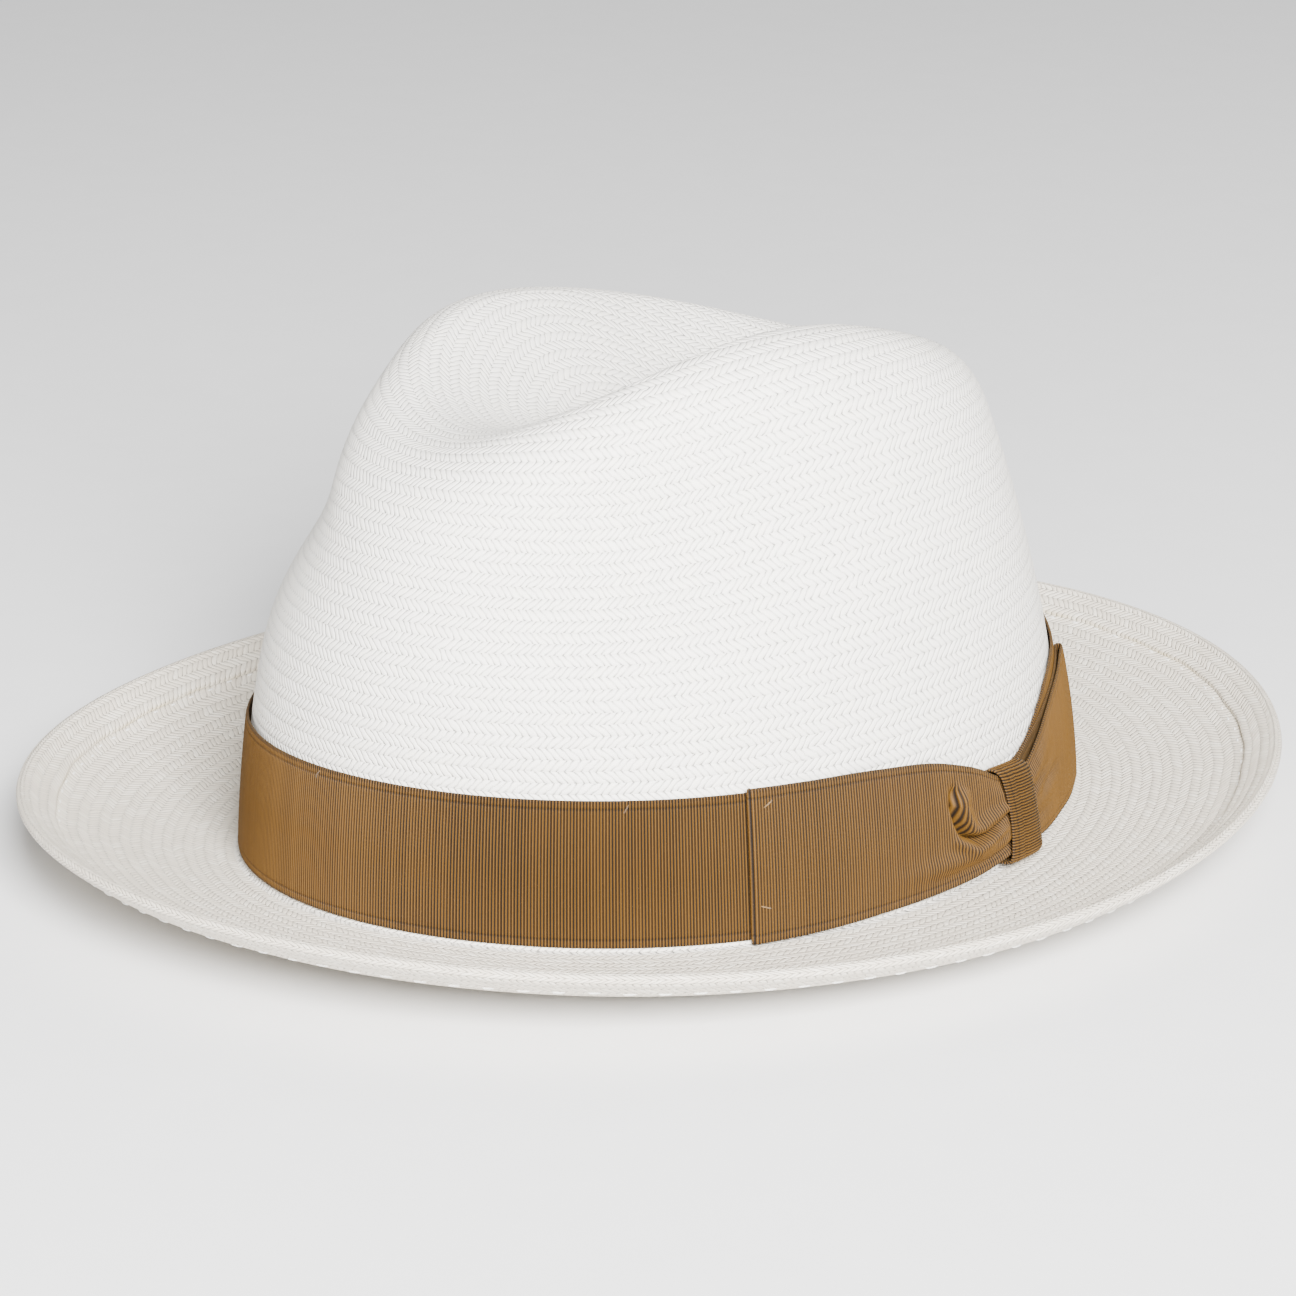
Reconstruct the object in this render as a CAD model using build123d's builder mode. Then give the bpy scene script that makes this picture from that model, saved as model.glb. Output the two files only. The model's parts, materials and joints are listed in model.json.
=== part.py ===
from build123d import *
import math
import os

os.makedirs("parts", exist_ok=True)

# ---------------------------------------------------------------------------
# Panama hat, millimetres.  The front of the hat is -Y, the wearer's left is
# +X (the side of the bow) and +Z is up.  The origin is the middle of the hat's
# outline, on the surface that the underside of the brim rests on.
# ---------------------------------------------------------------------------

# placing of the crown's own frame, whose z 0 is the ribbon's mean lower edge
LIFT = 5.45             # height of that frame above the resting surface
SHIFT_X, SHIFT_Y = 0.0, -1.70    # centres the brim's outline on the origin

# crown: outer surface of the straw
CROWN_A = 83.69         # half width at the head opening
CROWN_B = 103.3         # half length at the head opening
STRAW_T = 1.2           # one layer of woven straw
SIDE_TAPER = (5.62, 10.61, 0.74)  # loss of half width per 100 mm of height
FRONT_TAPER = (4.29, 15.76)
BACK_TAPER = (11.65, 15.72)
EGG0, EGG1 = 0.03, 0.04           # the back is wider than the front
PINCH_ANGLE, PINCH_WIDTH = 41.45, 35.0    # degrees from the front
PINCH_DEPTH, PINCH_Z, PINCH_LOW, PINCH_HIGH = 10.71, 83.85, 20.89, 60.0
DENT_Y = 15.0           # middle of the centre dent
DENT_FRONT, DENT_BACK, DENT_SIDE = 71.41, 60.09, 43.9
DENT_POWER, DENT_FLOOR, DENT_SHAPE = 2.5, 85.93, 1.5
LIP_WIDTH, LIP_DROP = 32.05, 17.94
RIDGE_Z, BACK_DROP, RIDGE_TILT = 117.42, -20.74, 3.7
RIDGE_ROUND = 13.99
EYE_Z = 18.0            # the crown's meridians are struck from this height

# head opening line, where crown meets brim, and the brim
OPEN_1, OPEN_2 = 0.93, -2.86      # fore-and-aft and side-to-side rise
BREAK_R = 2.0           # radius where the crown turns into the brim
RIBBON_CLEAR = 1.2      # the ribbon's lower edge stands this far off the brim
RIM_A, RIM_B, RIM_Y = 136.78, 151.85, 1.74
RIM_Z, RIM_1, RIM_2, RIM_4, RIM_3, RIM_EGG = 12.57, -1.20, -2.39, -0.11, 0.32, -0.02
HEM_W = 7.6             # width of the folded edge of the brim
HEM_T = 2.3             # thickness of the folded edge
CURL, CURL_W = 3.0, 14.0          # extra rise of the brim's outer part

# ribbon band and bow (grosgrain)
RIBBON_T = 0.6
BAND_GAP = 0.45
BAND_1, BAND_2, BAND_3, BAND_Z = 1.51, -3.12, 1.01, 31.8   # upper edge line
CINCH_P, CINCH_DROP = 17.0, 11.5  # the knot gathers the band here
CINCH_FRONT, CINCH_BACK = 17.0, 13.0      # degrees over which the edge recovers
WING_FRONT_P = -25.0    # folded edge of the front wing
KNOT_P0, KNOT_P1 = 12.2, 19.6     # the knot's two edges
WING_REAR_P = 47.0      # end of the rear wing

# sweatband
LEATHER_T, LEATHER_H = 0.8, 34.0
TAPE_T = 0.3
REED_T, REED_H = 1.0, 2.6


# ---------------------------------------------------------------------------
# Surfaces.  p is the hat's own angle: 0 at the wearer's left, 90 at the back.
# ---------------------------------------------------------------------------
def crown_gap(x, y, z):
    """Distance outside the crown's outer surface, negative inside it."""
    s = min(max(z, -10.0), 140.0) / 100.0
    a = CROWN_A - SIDE_TAPER[0] * s - SIDE_TAPER[1] * s**2 - SIDE_TAPER[2] * s**3
    bf = CROWN_B - FRONT_TAPER[0] * s - FRONT_TAPER[1] * s**2
    bb = CROWN_B - BACK_TAPER[0] * s - BACK_TAPER[1] * s**2
    sn = math.sin(math.atan2(y / CROWN_B, x / CROWN_A))
    w = 0.5 * (1 + math.sin(sn * math.pi / 2))
    b = bf * (1 - w) + bb * w
    a *= 1 + (EGG0 + EGG1 * s) * sn
    r = max(math.hypot(x, y), 1e-3)
    rr = max(math.hypot(x / a, y / b), r / 110.0)
    aa = math.degrees(math.atan2(abs(x), -y))
    g = math.exp(-(((aa - PINCH_ANGLE) / PINCH_WIDTH) ** 2)) + math.exp(
        -(((aa + PINCH_ANGLE) / PINCH_WIDTH) ** 2)
    )
    g *= math.exp(-(((z - PINCH_Z) / (PINCH_LOW if z < PINCH_Z else PINCH_HIGH)) ** 2))
    wall = (rr - 1) * r / rr + PINCH_DEPTH * g
    yc = y - DENT_Y
    rho = math.hypot(x, yc) + 1e-9
    cs, sc = x / rho, yc / rho
    w2 = 0.5 * (1 + math.tanh(sc * 2) / math.tanh(2))
    cy = DENT_FRONT * (1 - w2) + DENT_BACK * w2
    rc = 1 / ((abs(cs) / DENT_SIDE) ** DENT_POWER + (abs(sc) / cy) ** DENT_POWER) ** (
        1 / DENT_POWER
    )
    fa = math.degrees(math.atan2(abs(x), -yc))
    crest = (
        RIDGE_Z
        + BACK_DROP * (0.5 * (1 + sc)) ** 2.5
        - LIP_DROP * math.exp(-((fa / LIP_WIDTH) ** 2))
        + RIDGE_TILT * cs
    )
    q = min(rho / rc, 1.0)
    if rho < rc:
        top = crest - (crest - DENT_FLOOR) * (1 - q * q) ** DENT_SHAPE
        steep = (crest - DENT_FLOOR) / rc * 4.8 * q * (1 - q * q)
    else:
        top = crest - (rho - rc) ** 2 / 100.0
        steep = 0.0
    lid = (z - top) / math.sqrt(1 + steep * steep)
    h = max(RIDGE_ROUND - abs(wall - lid), 0.0) / RIDGE_ROUND
    return max(wall, lid) + h * h * RIDGE_ROUND / 4


def heading(p):
    """Plan direction of the hat's angle p, in degrees."""
    x, y = CROWN_A * math.cos(math.radians(p)), CROWN_B * math.sin(math.radians(p))
    r = math.hypot(x, y)
    return x / r, y / r


def wall_point(p, z, off=0.0):
    """Point at height z that stands off the crown's side by off."""
    ux, uy = heading(p)
    lo, hi = 30.0, 150.0
    for _ in range(40):
        m = (lo + hi) / 2
        if crown_gap(ux * m, uy * m, z) > off:
            hi = m
        else:
            lo = m
    return ux * lo, uy * lo, z


def open_z(p):
    """Height of the brim's upper face where it leaves the crown."""
    a = math.radians(p)
    return OPEN_1 * math.sin(a) + OPEN_2 * math.cos(2 * a) - RIBBON_CLEAR


def meridian(p, off, count):
    """Points from the middle of the dent to the foot of the crown's side."""
    ux, uy = heading(p)
    foot = open_z(p) + BREAK_R
    pts = []
    theta = 0.0
    fx, fy, _ = wall_point(p, foot, off)
    last = math.atan2(math.hypot(fx, fy), foot - EYE_Z)
    for i in range(121):
        theta = last * i / 120
        st, ct = math.sin(theta), math.cos(theta)
        lo, hi = 3.0, 190.0
        for _ in range(36):
            m = (lo + hi) / 2
            if crown_gap(ux * st * m, uy * st * m, EYE_Z + ct * m) > off:
                hi = m
            else:
                lo = m
        pts.append((ux * st * lo, uy * st * lo, EYE_Z + ct * lo))
    run = [0.0]
    for a, b in zip(pts, pts[1:]):
        run.append(run[-1] + math.dist(a, b))
    out, k = [], 0
    for i in range(1, count + 1):
        want = run[-1] * i / count
        while k < 119 and run[k + 1] < want:
            k += 1
        t = (want - run[k]) / max(run[k + 1] - run[k], 1e-9)
        out.append(tuple(a + (b - a) * t for a, b in zip(pts[k], pts[k + 1])))
    return pts[0], out


def rim_point(p):
    a = math.radians(p)
    s, c = math.sin(a), math.cos(a)
    return (
        RIM_A * c * (1 + RIM_EGG * s),
        RIM_B * s + RIM_Y,
        RIM_Z + RIM_1 * s + RIM_2 * math.cos(2 * a) + RIM_4 * math.cos(4 * a) + RIM_3 * math.sin(3 * a),
    )


def brim_frame(p):
    fx, fy, _ = wall_point(p, open_z(p) + BREAK_R)
    rx, ry, rz = rim_point(p)
    w0 = math.hypot(rx - fx, ry - fy)
    ux, uy = (rx - fx) / w0, (ry - fy) / w0
    return fx + ux * BREAK_R, fy + uy * BREAK_R, ux, uy, w0 - BREAK_R, rz - open_z(p)


def brim_rise(d, w, h):
    """Rise and slope of the brim's upper face, d out from the crown."""
    a = min(max((d - (w - CURL_W)) / CURL_W, 0.0), 1.0)
    rise = (h - CURL) * (d / w) ** 2 + CURL * a * a * (1.5 - 0.5 * a)
    slope = 2 * (h - CURL) * d / w**2 + CURL * (3 * a - 1.5 * a * a) / CURL_W
    return rise, slope


def brim_thick(d, w):
    t = min(max((d - (w - HEM_W - 1.0)) / 2.0, 0.0), 1.0)
    return STRAW_T + (HEM_T - STRAW_T) * t * t * (3 - 2 * t)


def brim_point(p, d, depth=0.0, frame=None):
    """Point d out from the crown, depth below the upper face."""
    bx, by, ux, uy, w, h = frame or brim_frame(p)
    rise, slope = brim_rise(d, w, h)
    k = math.sqrt(1 + slope * slope)
    d2 = d + depth * slope / k
    return bx + ux * d2, by + uy * d2, open_z(p) + rise - depth / k


def placed(pt):
    return (pt[0] + SHIFT_X, pt[1] + SHIFT_Y, pt[2] + LIFT)


ANGLES = [7.5 * i for i in range(48)]


def ring(points):
    """Closed smooth line through the points, in the hat's placed frame."""
    with BuildLine(mode=Mode.PRIVATE) as line:
        Spline(*[placed(q) for q in points], periodic=True)
    return line.wire()


def hoop(rows):
    """Solid whose section is the closed row of rings in rows."""
    rings = [ring(r) for r in rows]
    faces = [
        Face.make_surface_from_curves(a.edges()[0], b.edges()[0])
        for a, b in zip(rings, rings[1:] + rings[:1])
    ]
    solid = Solid(Shell(faces))
    return solid if solid.volume > 0 else -solid


def side_plane(p, z, off, tilt=0.0):
    """Plane on the crown's side: x along the hat's edge, y up, z outward."""
    q = wall_point(p, z, off)
    a, b = wall_point(p - 1, z, off), wall_point(p + 1, z, off)
    up = wall_point(p, z + 2, off)
    tx, ty = b[0] - a[0], b[1] - a[1]
    n = math.hypot(tx, ty)
    along = Vector(tx / n, ty / n, 0)
    rise = Vector(up[0] - q[0], up[1] - q[1], 2).normalized()
    return Plane(origin=placed(q), x_dir=along, z_dir=along.cross(rise)).rotated((0, 0, tilt))


def arc_angles(start, end, step, z, off):
    """Angles spaced evenly by length along the crown's side."""
    out, p, left = [start], start, step
    q = wall_point(p, z, off)
    while True:
        nxt = p + 0.1
        r = wall_point(nxt, z, off)
        left -= math.dist(q, r)
        p, q = nxt, r
        if p > end:
            return out
        if left <= 0:
            out.append(p)
            left += step


# --- straw body: crown and brim woven in one piece, open underneath ----------
N_CROWN = 15
OUT_D = [0.12, 0.26, 0.40, 0.54, 0.67]

outer = [meridian(p, 0.0, N_CROWN) for p in ANGLES]
inner = [meridian(p, -STRAW_T, N_CROWN) for p in ANGLES]
frames = [brim_frame(p) for p in ANGLES]


def brim_ring(share, under, back=None):
    pts = []
    for p, f in zip(ANGLES, frames):
        w = f[4]
        d = share * w if back is None else w - back
        pts.append(brim_point(p, d, brim_thick(d, w) if under else 0.0, f))
    return pts


def rim_rings():
    top, mid, low = [], [], []
    for p, f in zip(ANGLES, frames):
        w, h = f[4], f[5]
        _, slope = brim_rise(w, w, h)
        k = math.sqrt(1 + slope * slope)
        d = w - 0.5 * HEM_T * (1 + slope) / k
        a, b = brim_point(p, d, 0, f), brim_point(p, d, HEM_T, f)
        top.append(a)
        low.append(b)
        half = HEM_T / 2
        mid.append(
            (
                (a[0] + b[0]) / 2 + f[2] * half / k,
                (a[1] + b[1]) / 2 + f[3] * half / k,
                (a[2] + b[2]) / 2 + half * slope / k,
            )
        )
    return top, mid, low


def break_ring(under):
    pts = []
    r = BREAK_R + (STRAW_T if under else 0.0)
    s = r * math.sqrt(0.5)
    for p, f in zip(ANGLES, frames):
        pts.append((f[0] - f[2] * s, f[1] - f[3] * s, open_z(p) + BREAK_R - s))
    return pts


rim_top, rim_mid, rim_low = rim_rings()
rows = [[m[1][i] for m in outer] for i in range(N_CROWN)]
rows += [break_ring(False), brim_ring(0.0, False)]
rows += [brim_ring(s, False) for s in OUT_D]
rows += [brim_ring(0, False, back) for back in (11.5, 8.6, 6.6, 4.0)]
rows += [rim_top, rim_mid, rim_low]
rows += [brim_ring(0, True, back) for back in (4.0, 6.6, 8.6, 11.5)]
rows += [brim_ring(s, True) for s in reversed(OUT_D)]
rows += [brim_ring(0.0, True), break_ring(True)]
rows += [[m[1][i] for m in inner] for i in reversed(range(N_CROWN))]

# the skin is smooth over each stretch, from one of these rings to the next
rings = [ring(r) for r in rows]
crown_eye = Vertex(*placed(outer[0][0]))
inner_eye = Vertex(*placed(inner[0][0]))
n_out = len(OUT_D)
stops = [N_CROWN - 1, N_CROWN + 1, N_CROWN + n_out + 3, N_CROWN + n_out + 7,
         N_CROWN + n_out + 9, len(rings) - N_CROWN - 2, len(rings) - N_CROWN]
stretches = [[crown_eye] + rings[: stops[0] + 1]]
stretches += [rings[a : b + 1] for a, b in zip(stops, stops[1:])]
stretches += [rings[stops[-1] :] + [inner_eye]]

with BuildPart() as straw_body:
    skin = Shell([f for g in stretches for f in Shell.make_loft(g).faces()])
    shell_solid = Solid(skin)
    add(shell_solid if shell_solid.volume > 0 else -shell_solid)
straw_body.part.label = "straw_body"
export_step(straw_body.part, "parts/straw_body.step")


# --- hem stitching: running stitch that shows on both faces of the brim ------
def brim_plane(p, back, under, clear):
    f = brim_frame(p)
    w, h = f[4], f[5]
    d = w - back
    depth = brim_thick(d, w) + clear if under else -clear
    q = brim_point(p, d, depth, f)
    g = brim_frame(p + 0.5)
    q2 = brim_point(p + 0.5, g[4] - back, depth, g)
    _, slope = brim_rise(d, w, h)
    k = math.sqrt(1 + slope * slope)
    normal = Vector(-f[2] * slope / k, -f[3] * slope / k, 1 / k)
    along = Vector(q2[0] - q[0], q2[1] - q[1], q2[2] - q[2])
    along = (along - normal * along.dot(normal)).normalized()
    return Plane(origin=placed(q), x_dir=along, z_dir=-normal if under else normal)


def rim_angles(step):
    """Angles spaced evenly by length along the rim."""
    out, left = [], 0.0
    last = rim_point(0)
    for i in range(3600):
        nxt = rim_point((i + 1) / 10)
        left -= math.dist(last, nxt)
        if left <= 0 and i < 3570:
            out.append(i / 10)
            left += step
        last = nxt
    return out


HEM_STITCH_BACK = 6.4   # the stitch line's distance from the rim
HEM_PITCH = 7.6
with BuildPart() as hem_stitching:
    marks = rim_angles(HEM_PITCH)
    for spot in [brim_plane(p, HEM_STITCH_BACK, True, 0.22) for p in marks]:
        with BuildSketch(spot):
            SlotOverall(3.4, 0.5)
    extrude(amount=0.3)
    for spot in [brim_plane(p + 1.5, HEM_W + 1.6, False, 0.22) for p in marks]:
        with BuildSketch(spot):
            SlotOverall(2.2, 0.5)
    extrude(amount=0.3)
hem_stitching.part.label = "hem_stitching"
export_step(hem_stitching.part, "parts/hem_stitching.step")


# --- hat band -----------------------------------------------------------------
def band_low(p):
    return open_z(p) + RIBBON_CLEAR


def cinch(p):
    d = (p - CINCH_P + 180) % 360 - 180
    return math.exp(-abs(d / (CINCH_FRONT if d < 0 else CINCH_BACK)) ** 2.2)


def band_high(p):
    a = math.radians(p)
    z = BAND_Z + BAND_1 * math.sin(a) + BAND_2 * math.cos(2 * a) + BAND_3 * math.cos(a)
    return z - CINCH_DROP * cinch(p)


BAND_ANGLES = [3.75 * i for i in range(96)]


def wall_row(angles, height, off):
    return [wall_point(p, height(p), off(p) if callable(off) else off) for p in angles]


with BuildPart() as hat_band:
    levels = [(k, off) for off, ks in ((BAND_GAP, (3, 2, 1, 0)), (BAND_GAP + RIBBON_T, (0, 1, 2, 3)))
              for k in ks]
    add(hoop([
        wall_row(BAND_ANGLES, lambda p, k=k: band_low(p) + (band_high(p) - band_low(p)) * k / 3, off)
        for k, off in levels
    ]))
hat_band.part.label = "hat_band"
export_step(hat_band.part, "parts/hat_band.step")

# --- tacks that hold the band's upper edge to the straw ----------------------
with BuildPart() as band_tack_stitches:
    spots = []
    for p in (90.0, 150.0, 205.0, 270.0, 318.0):
        spots.append(side_plane(p, band_high(p) - 1.6, BAND_GAP + RIBBON_T + 0.12, 60))
    for spot in spots:
        with BuildSketch(spot):
            SlotOverall(2.4, 0.45)
    extrude(amount=0.3)
band_tack_stitches.part.label = "band_tack_stitches"
export_step(band_tack_stitches.part, "parts/band_tack_stitches.step")


# --- bow: two folded wings, a knot round their waist --------------------------
def wing_section(p, z0, z1, o0, o1):
    """Upright section of a wing from height z0 to z1, o0 to o1 off the straw."""
    corners = [(z0, o0), (z0, o1), ((z0 + z1) / 2, o1 + 0.25), (z1, o1), (z1, o0)]
    pts = [placed(wall_point(p, z, o)) for z, o in corners]
    with BuildLine(mode=Mode.PRIVATE) as line:
        Polyline(*pts, close=True)
    return line.wire()


BAND_FACE = BAND_GAP + RIBBON_T
WAIST_LOW, WAIST_HIGH = 2.0, 17.6


def blend(a, b, t):
    t = min(max(t, 0.0), 1.0)
    return a + (b - a) * t * t * (3 - 2 * t)


def wing(p0, p1, z0, z1, thick0, thick1, steps):
    """Wing from its outer end p0, z0 wide, to its waist p1, between z1."""
    sections = []
    for i in range(steps + 1):
        t = i / steps
        p = p0 + (p1 - p0) * t
        low = blend(z0[0], z1[0], (t - 0.25) / 0.75)
        high = blend(z0[1], z1[1], (t - 0.15) / 0.85)
        o0 = blend(BAND_FACE + 0.35, BAND_FACE + 1.35, (t - 0.5) / 0.4)
        sections.append(wing_section(p, low, high, o0, o0 + blend(thick0, thick1, t)))
    return Solid.make_loft(sections, ruled=True)


with BuildPart() as bow_front_wing:
    z_low = band_low(WING_FRONT_P)
    add(wing(WING_FRONT_P, 15.6, (z_low - 0.4, z_low + 32.6), (WAIST_LOW, WAIST_HIGH), 1.6, 2.9, 16))
bow_front_wing.part.label = "bow_front_wing"
export_step(bow_front_wing.part, "parts/bow_front_wing.step")

with BuildPart() as bow_rear_wing:
    add(wing(WING_REAR_P, 16.2, (-0.6, 32.4), (WAIST_LOW, WAIST_HIGH), 1.6, 2.9, 14))
bow_rear_wing.part.label = "bow_rear_wing"
export_step(bow_rear_wing.part, "parts/bow_rear_wing.step")

KNOT_LOW, KNOT_HIGH = -1.4, 20.8
with BuildPart() as bow_knot:
    mid = side_plane((KNOT_P0 + KNOT_P1) / 2, (KNOT_LOW + KNOT_HIGH) / 2, 0.0)
    across = Plane(origin=mid.origin - mid.x_dir * 7.0, x_dir=mid.y_dir, z_dir=mid.x_dir)
    out_sign = 1 if across.y_dir.dot(mid.z_dir) > 0 else -1
    half = (KNOT_HIGH - KNOT_LOW) / 2
    inside, outside = BAND_FACE + 0.45, BAND_FACE + 6.2
    with BuildSketch(across):
        with Locations((0, out_sign * (inside + outside) / 2)):
            RectangleRounded(2 * half, outside - inside, 2.2)
            Rectangle(2 * half - 2.2, outside - inside - 1.1, mode=Mode.SUBTRACT)
    extrude(amount=14.0)
bow_knot.part.label = "bow_knot"
export_step(bow_knot.part, "parts/bow_knot.step")

with BuildPart() as bow_tack_stitches:
    face = BAND_FACE + 0.35 + 1.6 + 0.42
    for spot in (side_plane(-23.2, 28.0, face, 35), side_plane(-24.0, 5.4, face, -20)):
        with BuildSketch(spot):
            SlotOverall(3.0, 0.6)
    extrude(amount=0.35)
bow_tack_stitches.part.label = "bow_tack_stitches"
export_step(bow_tack_stitches.part, "parts/bow_tack_stitches.step")


# --- sweatband: leather, reed and tape inside the head opening ----------------
# The tape is folded round the reed, and its outer leg lies between leather and
# straw.  off is measured from the straw's outer face, so inside is negative.
SIDE = -STRAW_T


def lift(rise):
    return lambda p: open_z(p) + rise


TAPE_OUT = SIDE - 0.25
TAPE_IN = TAPE_OUT - TAPE_T - 0.1 - REED_T - 0.1 - TAPE_T
REED_LOW = 1.4
with BuildPart() as sweatband_reed:
    o0 = TAPE_OUT - TAPE_T - 0.1
    add(hoop([
        wall_row(ANGLES, lift(REED_LOW), o0),
        wall_row(ANGLES, lift(REED_LOW), o0 - REED_T),
        wall_row(ANGLES, lift(REED_LOW + REED_H), o0 - REED_T),
        wall_row(ANGLES, lift(REED_LOW + REED_H), o0),
    ]))
sweatband_reed.part.label = "sweatband_reed"
export_step(sweatband_reed.part, "parts/sweatband_reed.step")

TAPE_LOW = REED_LOW - 0.1 - TAPE_T
with BuildPart() as reed_tape:
    top_in, top_out = REED_LOW + REED_H + 0.3, REED_LOW + REED_H + 7.0
    add(hoop([
        wall_row(ANGLES, lift(top_out), TAPE_OUT),
        wall_row(ANGLES, lift(TAPE_LOW), TAPE_OUT),
        wall_row(ANGLES, lift(TAPE_LOW), TAPE_IN),
        wall_row(ANGLES, lift(top_in), TAPE_IN),
        wall_row(ANGLES, lift(top_in), TAPE_IN + TAPE_T),
        wall_row(ANGLES, lift(REED_LOW - 0.1), TAPE_IN + TAPE_T),
        wall_row(ANGLES, lift(REED_LOW - 0.1), TAPE_OUT - TAPE_T),
        wall_row(ANGLES, lift(top_out), TAPE_OUT - TAPE_T),
    ]))
reed_tape.part.label = "reed_tape"
export_step(reed_tape.part, "parts/reed_tape.step")

LEATHER_LOW = REED_LOW + REED_H + 0.6
LEATHER_OUT = TAPE_OUT - TAPE_T - 0.15
with BuildPart() as sweatband:
    low, high = lift(LEATHER_LOW), lift(LEATHER_LOW + LEATHER_H)
    add(hoop([
        wall_row(ANGLES, low, LEATHER_OUT),
        wall_row(ANGLES, low, LEATHER_OUT - LEATHER_T),
        wall_row(ANGLES, high, LEATHER_OUT - LEATHER_T - 0.6),
        wall_row(ANGLES, high, LEATHER_OUT - 0.6),
    ]))
sweatband.part.label = "sweatband"
export_step(sweatband.part, "parts/sweatband.step")


def inward(plane):
    """The same place, facing the wearer's head."""
    return Plane(origin=plane.origin, x_dir=plane.x_dir, z_dir=-plane.z_dir)


LEATHER_FACE = LEATHER_OUT - LEATHER_T
with BuildPart() as leather_stitching:
    spots = []
    for p in arc_angles(0.0, 359.0, 4.6, 5.0, LEATHER_FACE):
        spots.append(inward(side_plane(p, open_z(p) + LEATHER_LOW + 2.2, LEATHER_FACE - 0.3)))
    for spot in spots:
        with BuildSketch(spot):
            SlotOverall(3.0, 0.5)
    extrude(amount=0.3)
leather_stitching.part.label = "leather_stitching"
export_step(leather_stitching.part, "parts/leather_stitching.step")


# --- thread that sews the tape to the straw, out through the brim's root -----
def root_plane(p):
    f = brim_frame(p)
    r = BREAK_R - 0.12
    s, c = math.sin(math.radians(42)), math.cos(math.radians(42))
    q = (f[0] - f[2] * r * s, f[1] - f[3] * r * s, open_z(p) + BREAK_R - r * c)
    normal = Vector(f[2] * s, f[3] * s, c)
    g = brim_frame(p + 0.5)
    along = Vector(g[0] - f[0], g[1] - f[1], open_z(p + 0.5) - open_z(p))
    along = (along - normal * along.dot(normal)).normalized()
    return Plane(origin=placed(q), x_dir=along, z_dir=normal)


with BuildPart() as sweatband_stitching:
    marks = arc_angles(0.0, 359.2, 3.6, 0.0, 0.0)
    for spot in [root_plane(p) for p in marks]:
        with BuildSketch(spot):
            SlotOverall(2.0, 0.45)
    extrude(amount=0.3)
sweatband_stitching.part.label = "sweatband_stitching"
export_step(sweatband_stitching.part, "parts/sweatband_stitching.step")

# --- back of the sweatband: seam, small bow and size label --------------------
with BuildPart() as sweatband_rear_seam:
    spots = []
    for i in range(9):
        z = open_z(90) + LEATHER_LOW + 4.6 + 3.1 * i
        off = LEATHER_FACE - 0.45 - 0.6 * (4.6 + 3.1 * i) / LEATHER_H
        spots.append(inward(side_plane(90, z, off, 35 if i % 2 else -35)))
    for spot in spots:
        with BuildSketch(spot):
            SlotOverall(2.6, 0.5)
    extrude(amount=0.3)
sweatband_rear_seam.part.label = "sweatband_rear_seam"
export_step(sweatband_rear_seam.part, "parts/sweatband_rear_seam.step")

with BuildPart() as sweatband_rear_bow:
    base = inward(side_plane(96, open_z(96) + LEATHER_LOW + 7.5, LEATHER_FACE - 1.75))
    with BuildSketch(base):
        with BuildLine():
            Polyline((-1.6, -1.4), (-11, -4.2), (-12, 0), (-11, 4.2), (-1.6, 1.4), (-1.6, 2.2),
                     (1.6, 2.2), (1.6, 1.4), (11, 4.2), (12, 0), (11, -4.2), (1.6, -1.4),
                     (1.6, -2.2), (-1.6, -2.2), close=True)
        make_face()
    extrude(amount=1.2)
sweatband_rear_bow.part.label = "sweatband_rear_bow"
export_step(sweatband_rear_bow.part, "parts/sweatband_rear_bow.step")

with BuildPart() as size_label:
    tag = inward(side_plane(78, open_z(78) + LEATHER_LOW + 17, LEATHER_FACE - 1.75))
    with BuildSketch(tag):
        RectangleRounded(16, 10, 0.8)
    extrude(amount=0.35)
size_label.part.label = "size_label"
export_step(size_label.part, "parts/size_label.step")

for piece in (straw_body, hem_stitching, hat_band, band_tack_stitches, bow_front_wing,
              bow_rear_wing, bow_knot, bow_tack_stitches, sweatband_reed, reed_tape, sweatband,
              leather_stitching, sweatband_stitching, sweatband_rear_seam, sweatband_rear_bow,
              size_label):
    part = piece.part
    print(part.label, part.is_valid, len(part.solids()), round(part.volume, 1))
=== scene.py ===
import json
import math

import bpy
import numpy as np
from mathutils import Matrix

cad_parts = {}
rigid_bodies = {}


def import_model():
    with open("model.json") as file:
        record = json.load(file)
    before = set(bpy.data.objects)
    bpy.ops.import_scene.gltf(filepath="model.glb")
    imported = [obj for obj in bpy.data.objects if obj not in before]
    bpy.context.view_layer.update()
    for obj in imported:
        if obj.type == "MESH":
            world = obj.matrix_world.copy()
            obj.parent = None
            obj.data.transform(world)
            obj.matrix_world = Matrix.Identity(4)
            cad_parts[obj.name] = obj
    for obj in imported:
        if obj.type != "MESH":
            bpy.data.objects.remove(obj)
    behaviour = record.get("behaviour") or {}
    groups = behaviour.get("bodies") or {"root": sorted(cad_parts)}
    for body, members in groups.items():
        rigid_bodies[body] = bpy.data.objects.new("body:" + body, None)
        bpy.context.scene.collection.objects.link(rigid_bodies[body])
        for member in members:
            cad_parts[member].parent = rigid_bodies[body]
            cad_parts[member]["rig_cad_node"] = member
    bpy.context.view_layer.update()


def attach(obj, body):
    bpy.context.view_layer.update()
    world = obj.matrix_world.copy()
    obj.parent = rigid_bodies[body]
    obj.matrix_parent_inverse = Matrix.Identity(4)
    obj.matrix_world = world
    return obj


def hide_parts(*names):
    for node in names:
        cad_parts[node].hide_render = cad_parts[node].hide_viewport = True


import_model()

# Everything below works in millimetres in the crown's own frame, whose z 0 is
# the ribbon's mean lower edge, and put() turns that into the hat's metres.
LIFT, SHIFT_Y = 5.45, -1.70
CROWN_A, CROWN_B, STRAW_T = 83.69, 103.3, 1.2
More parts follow.
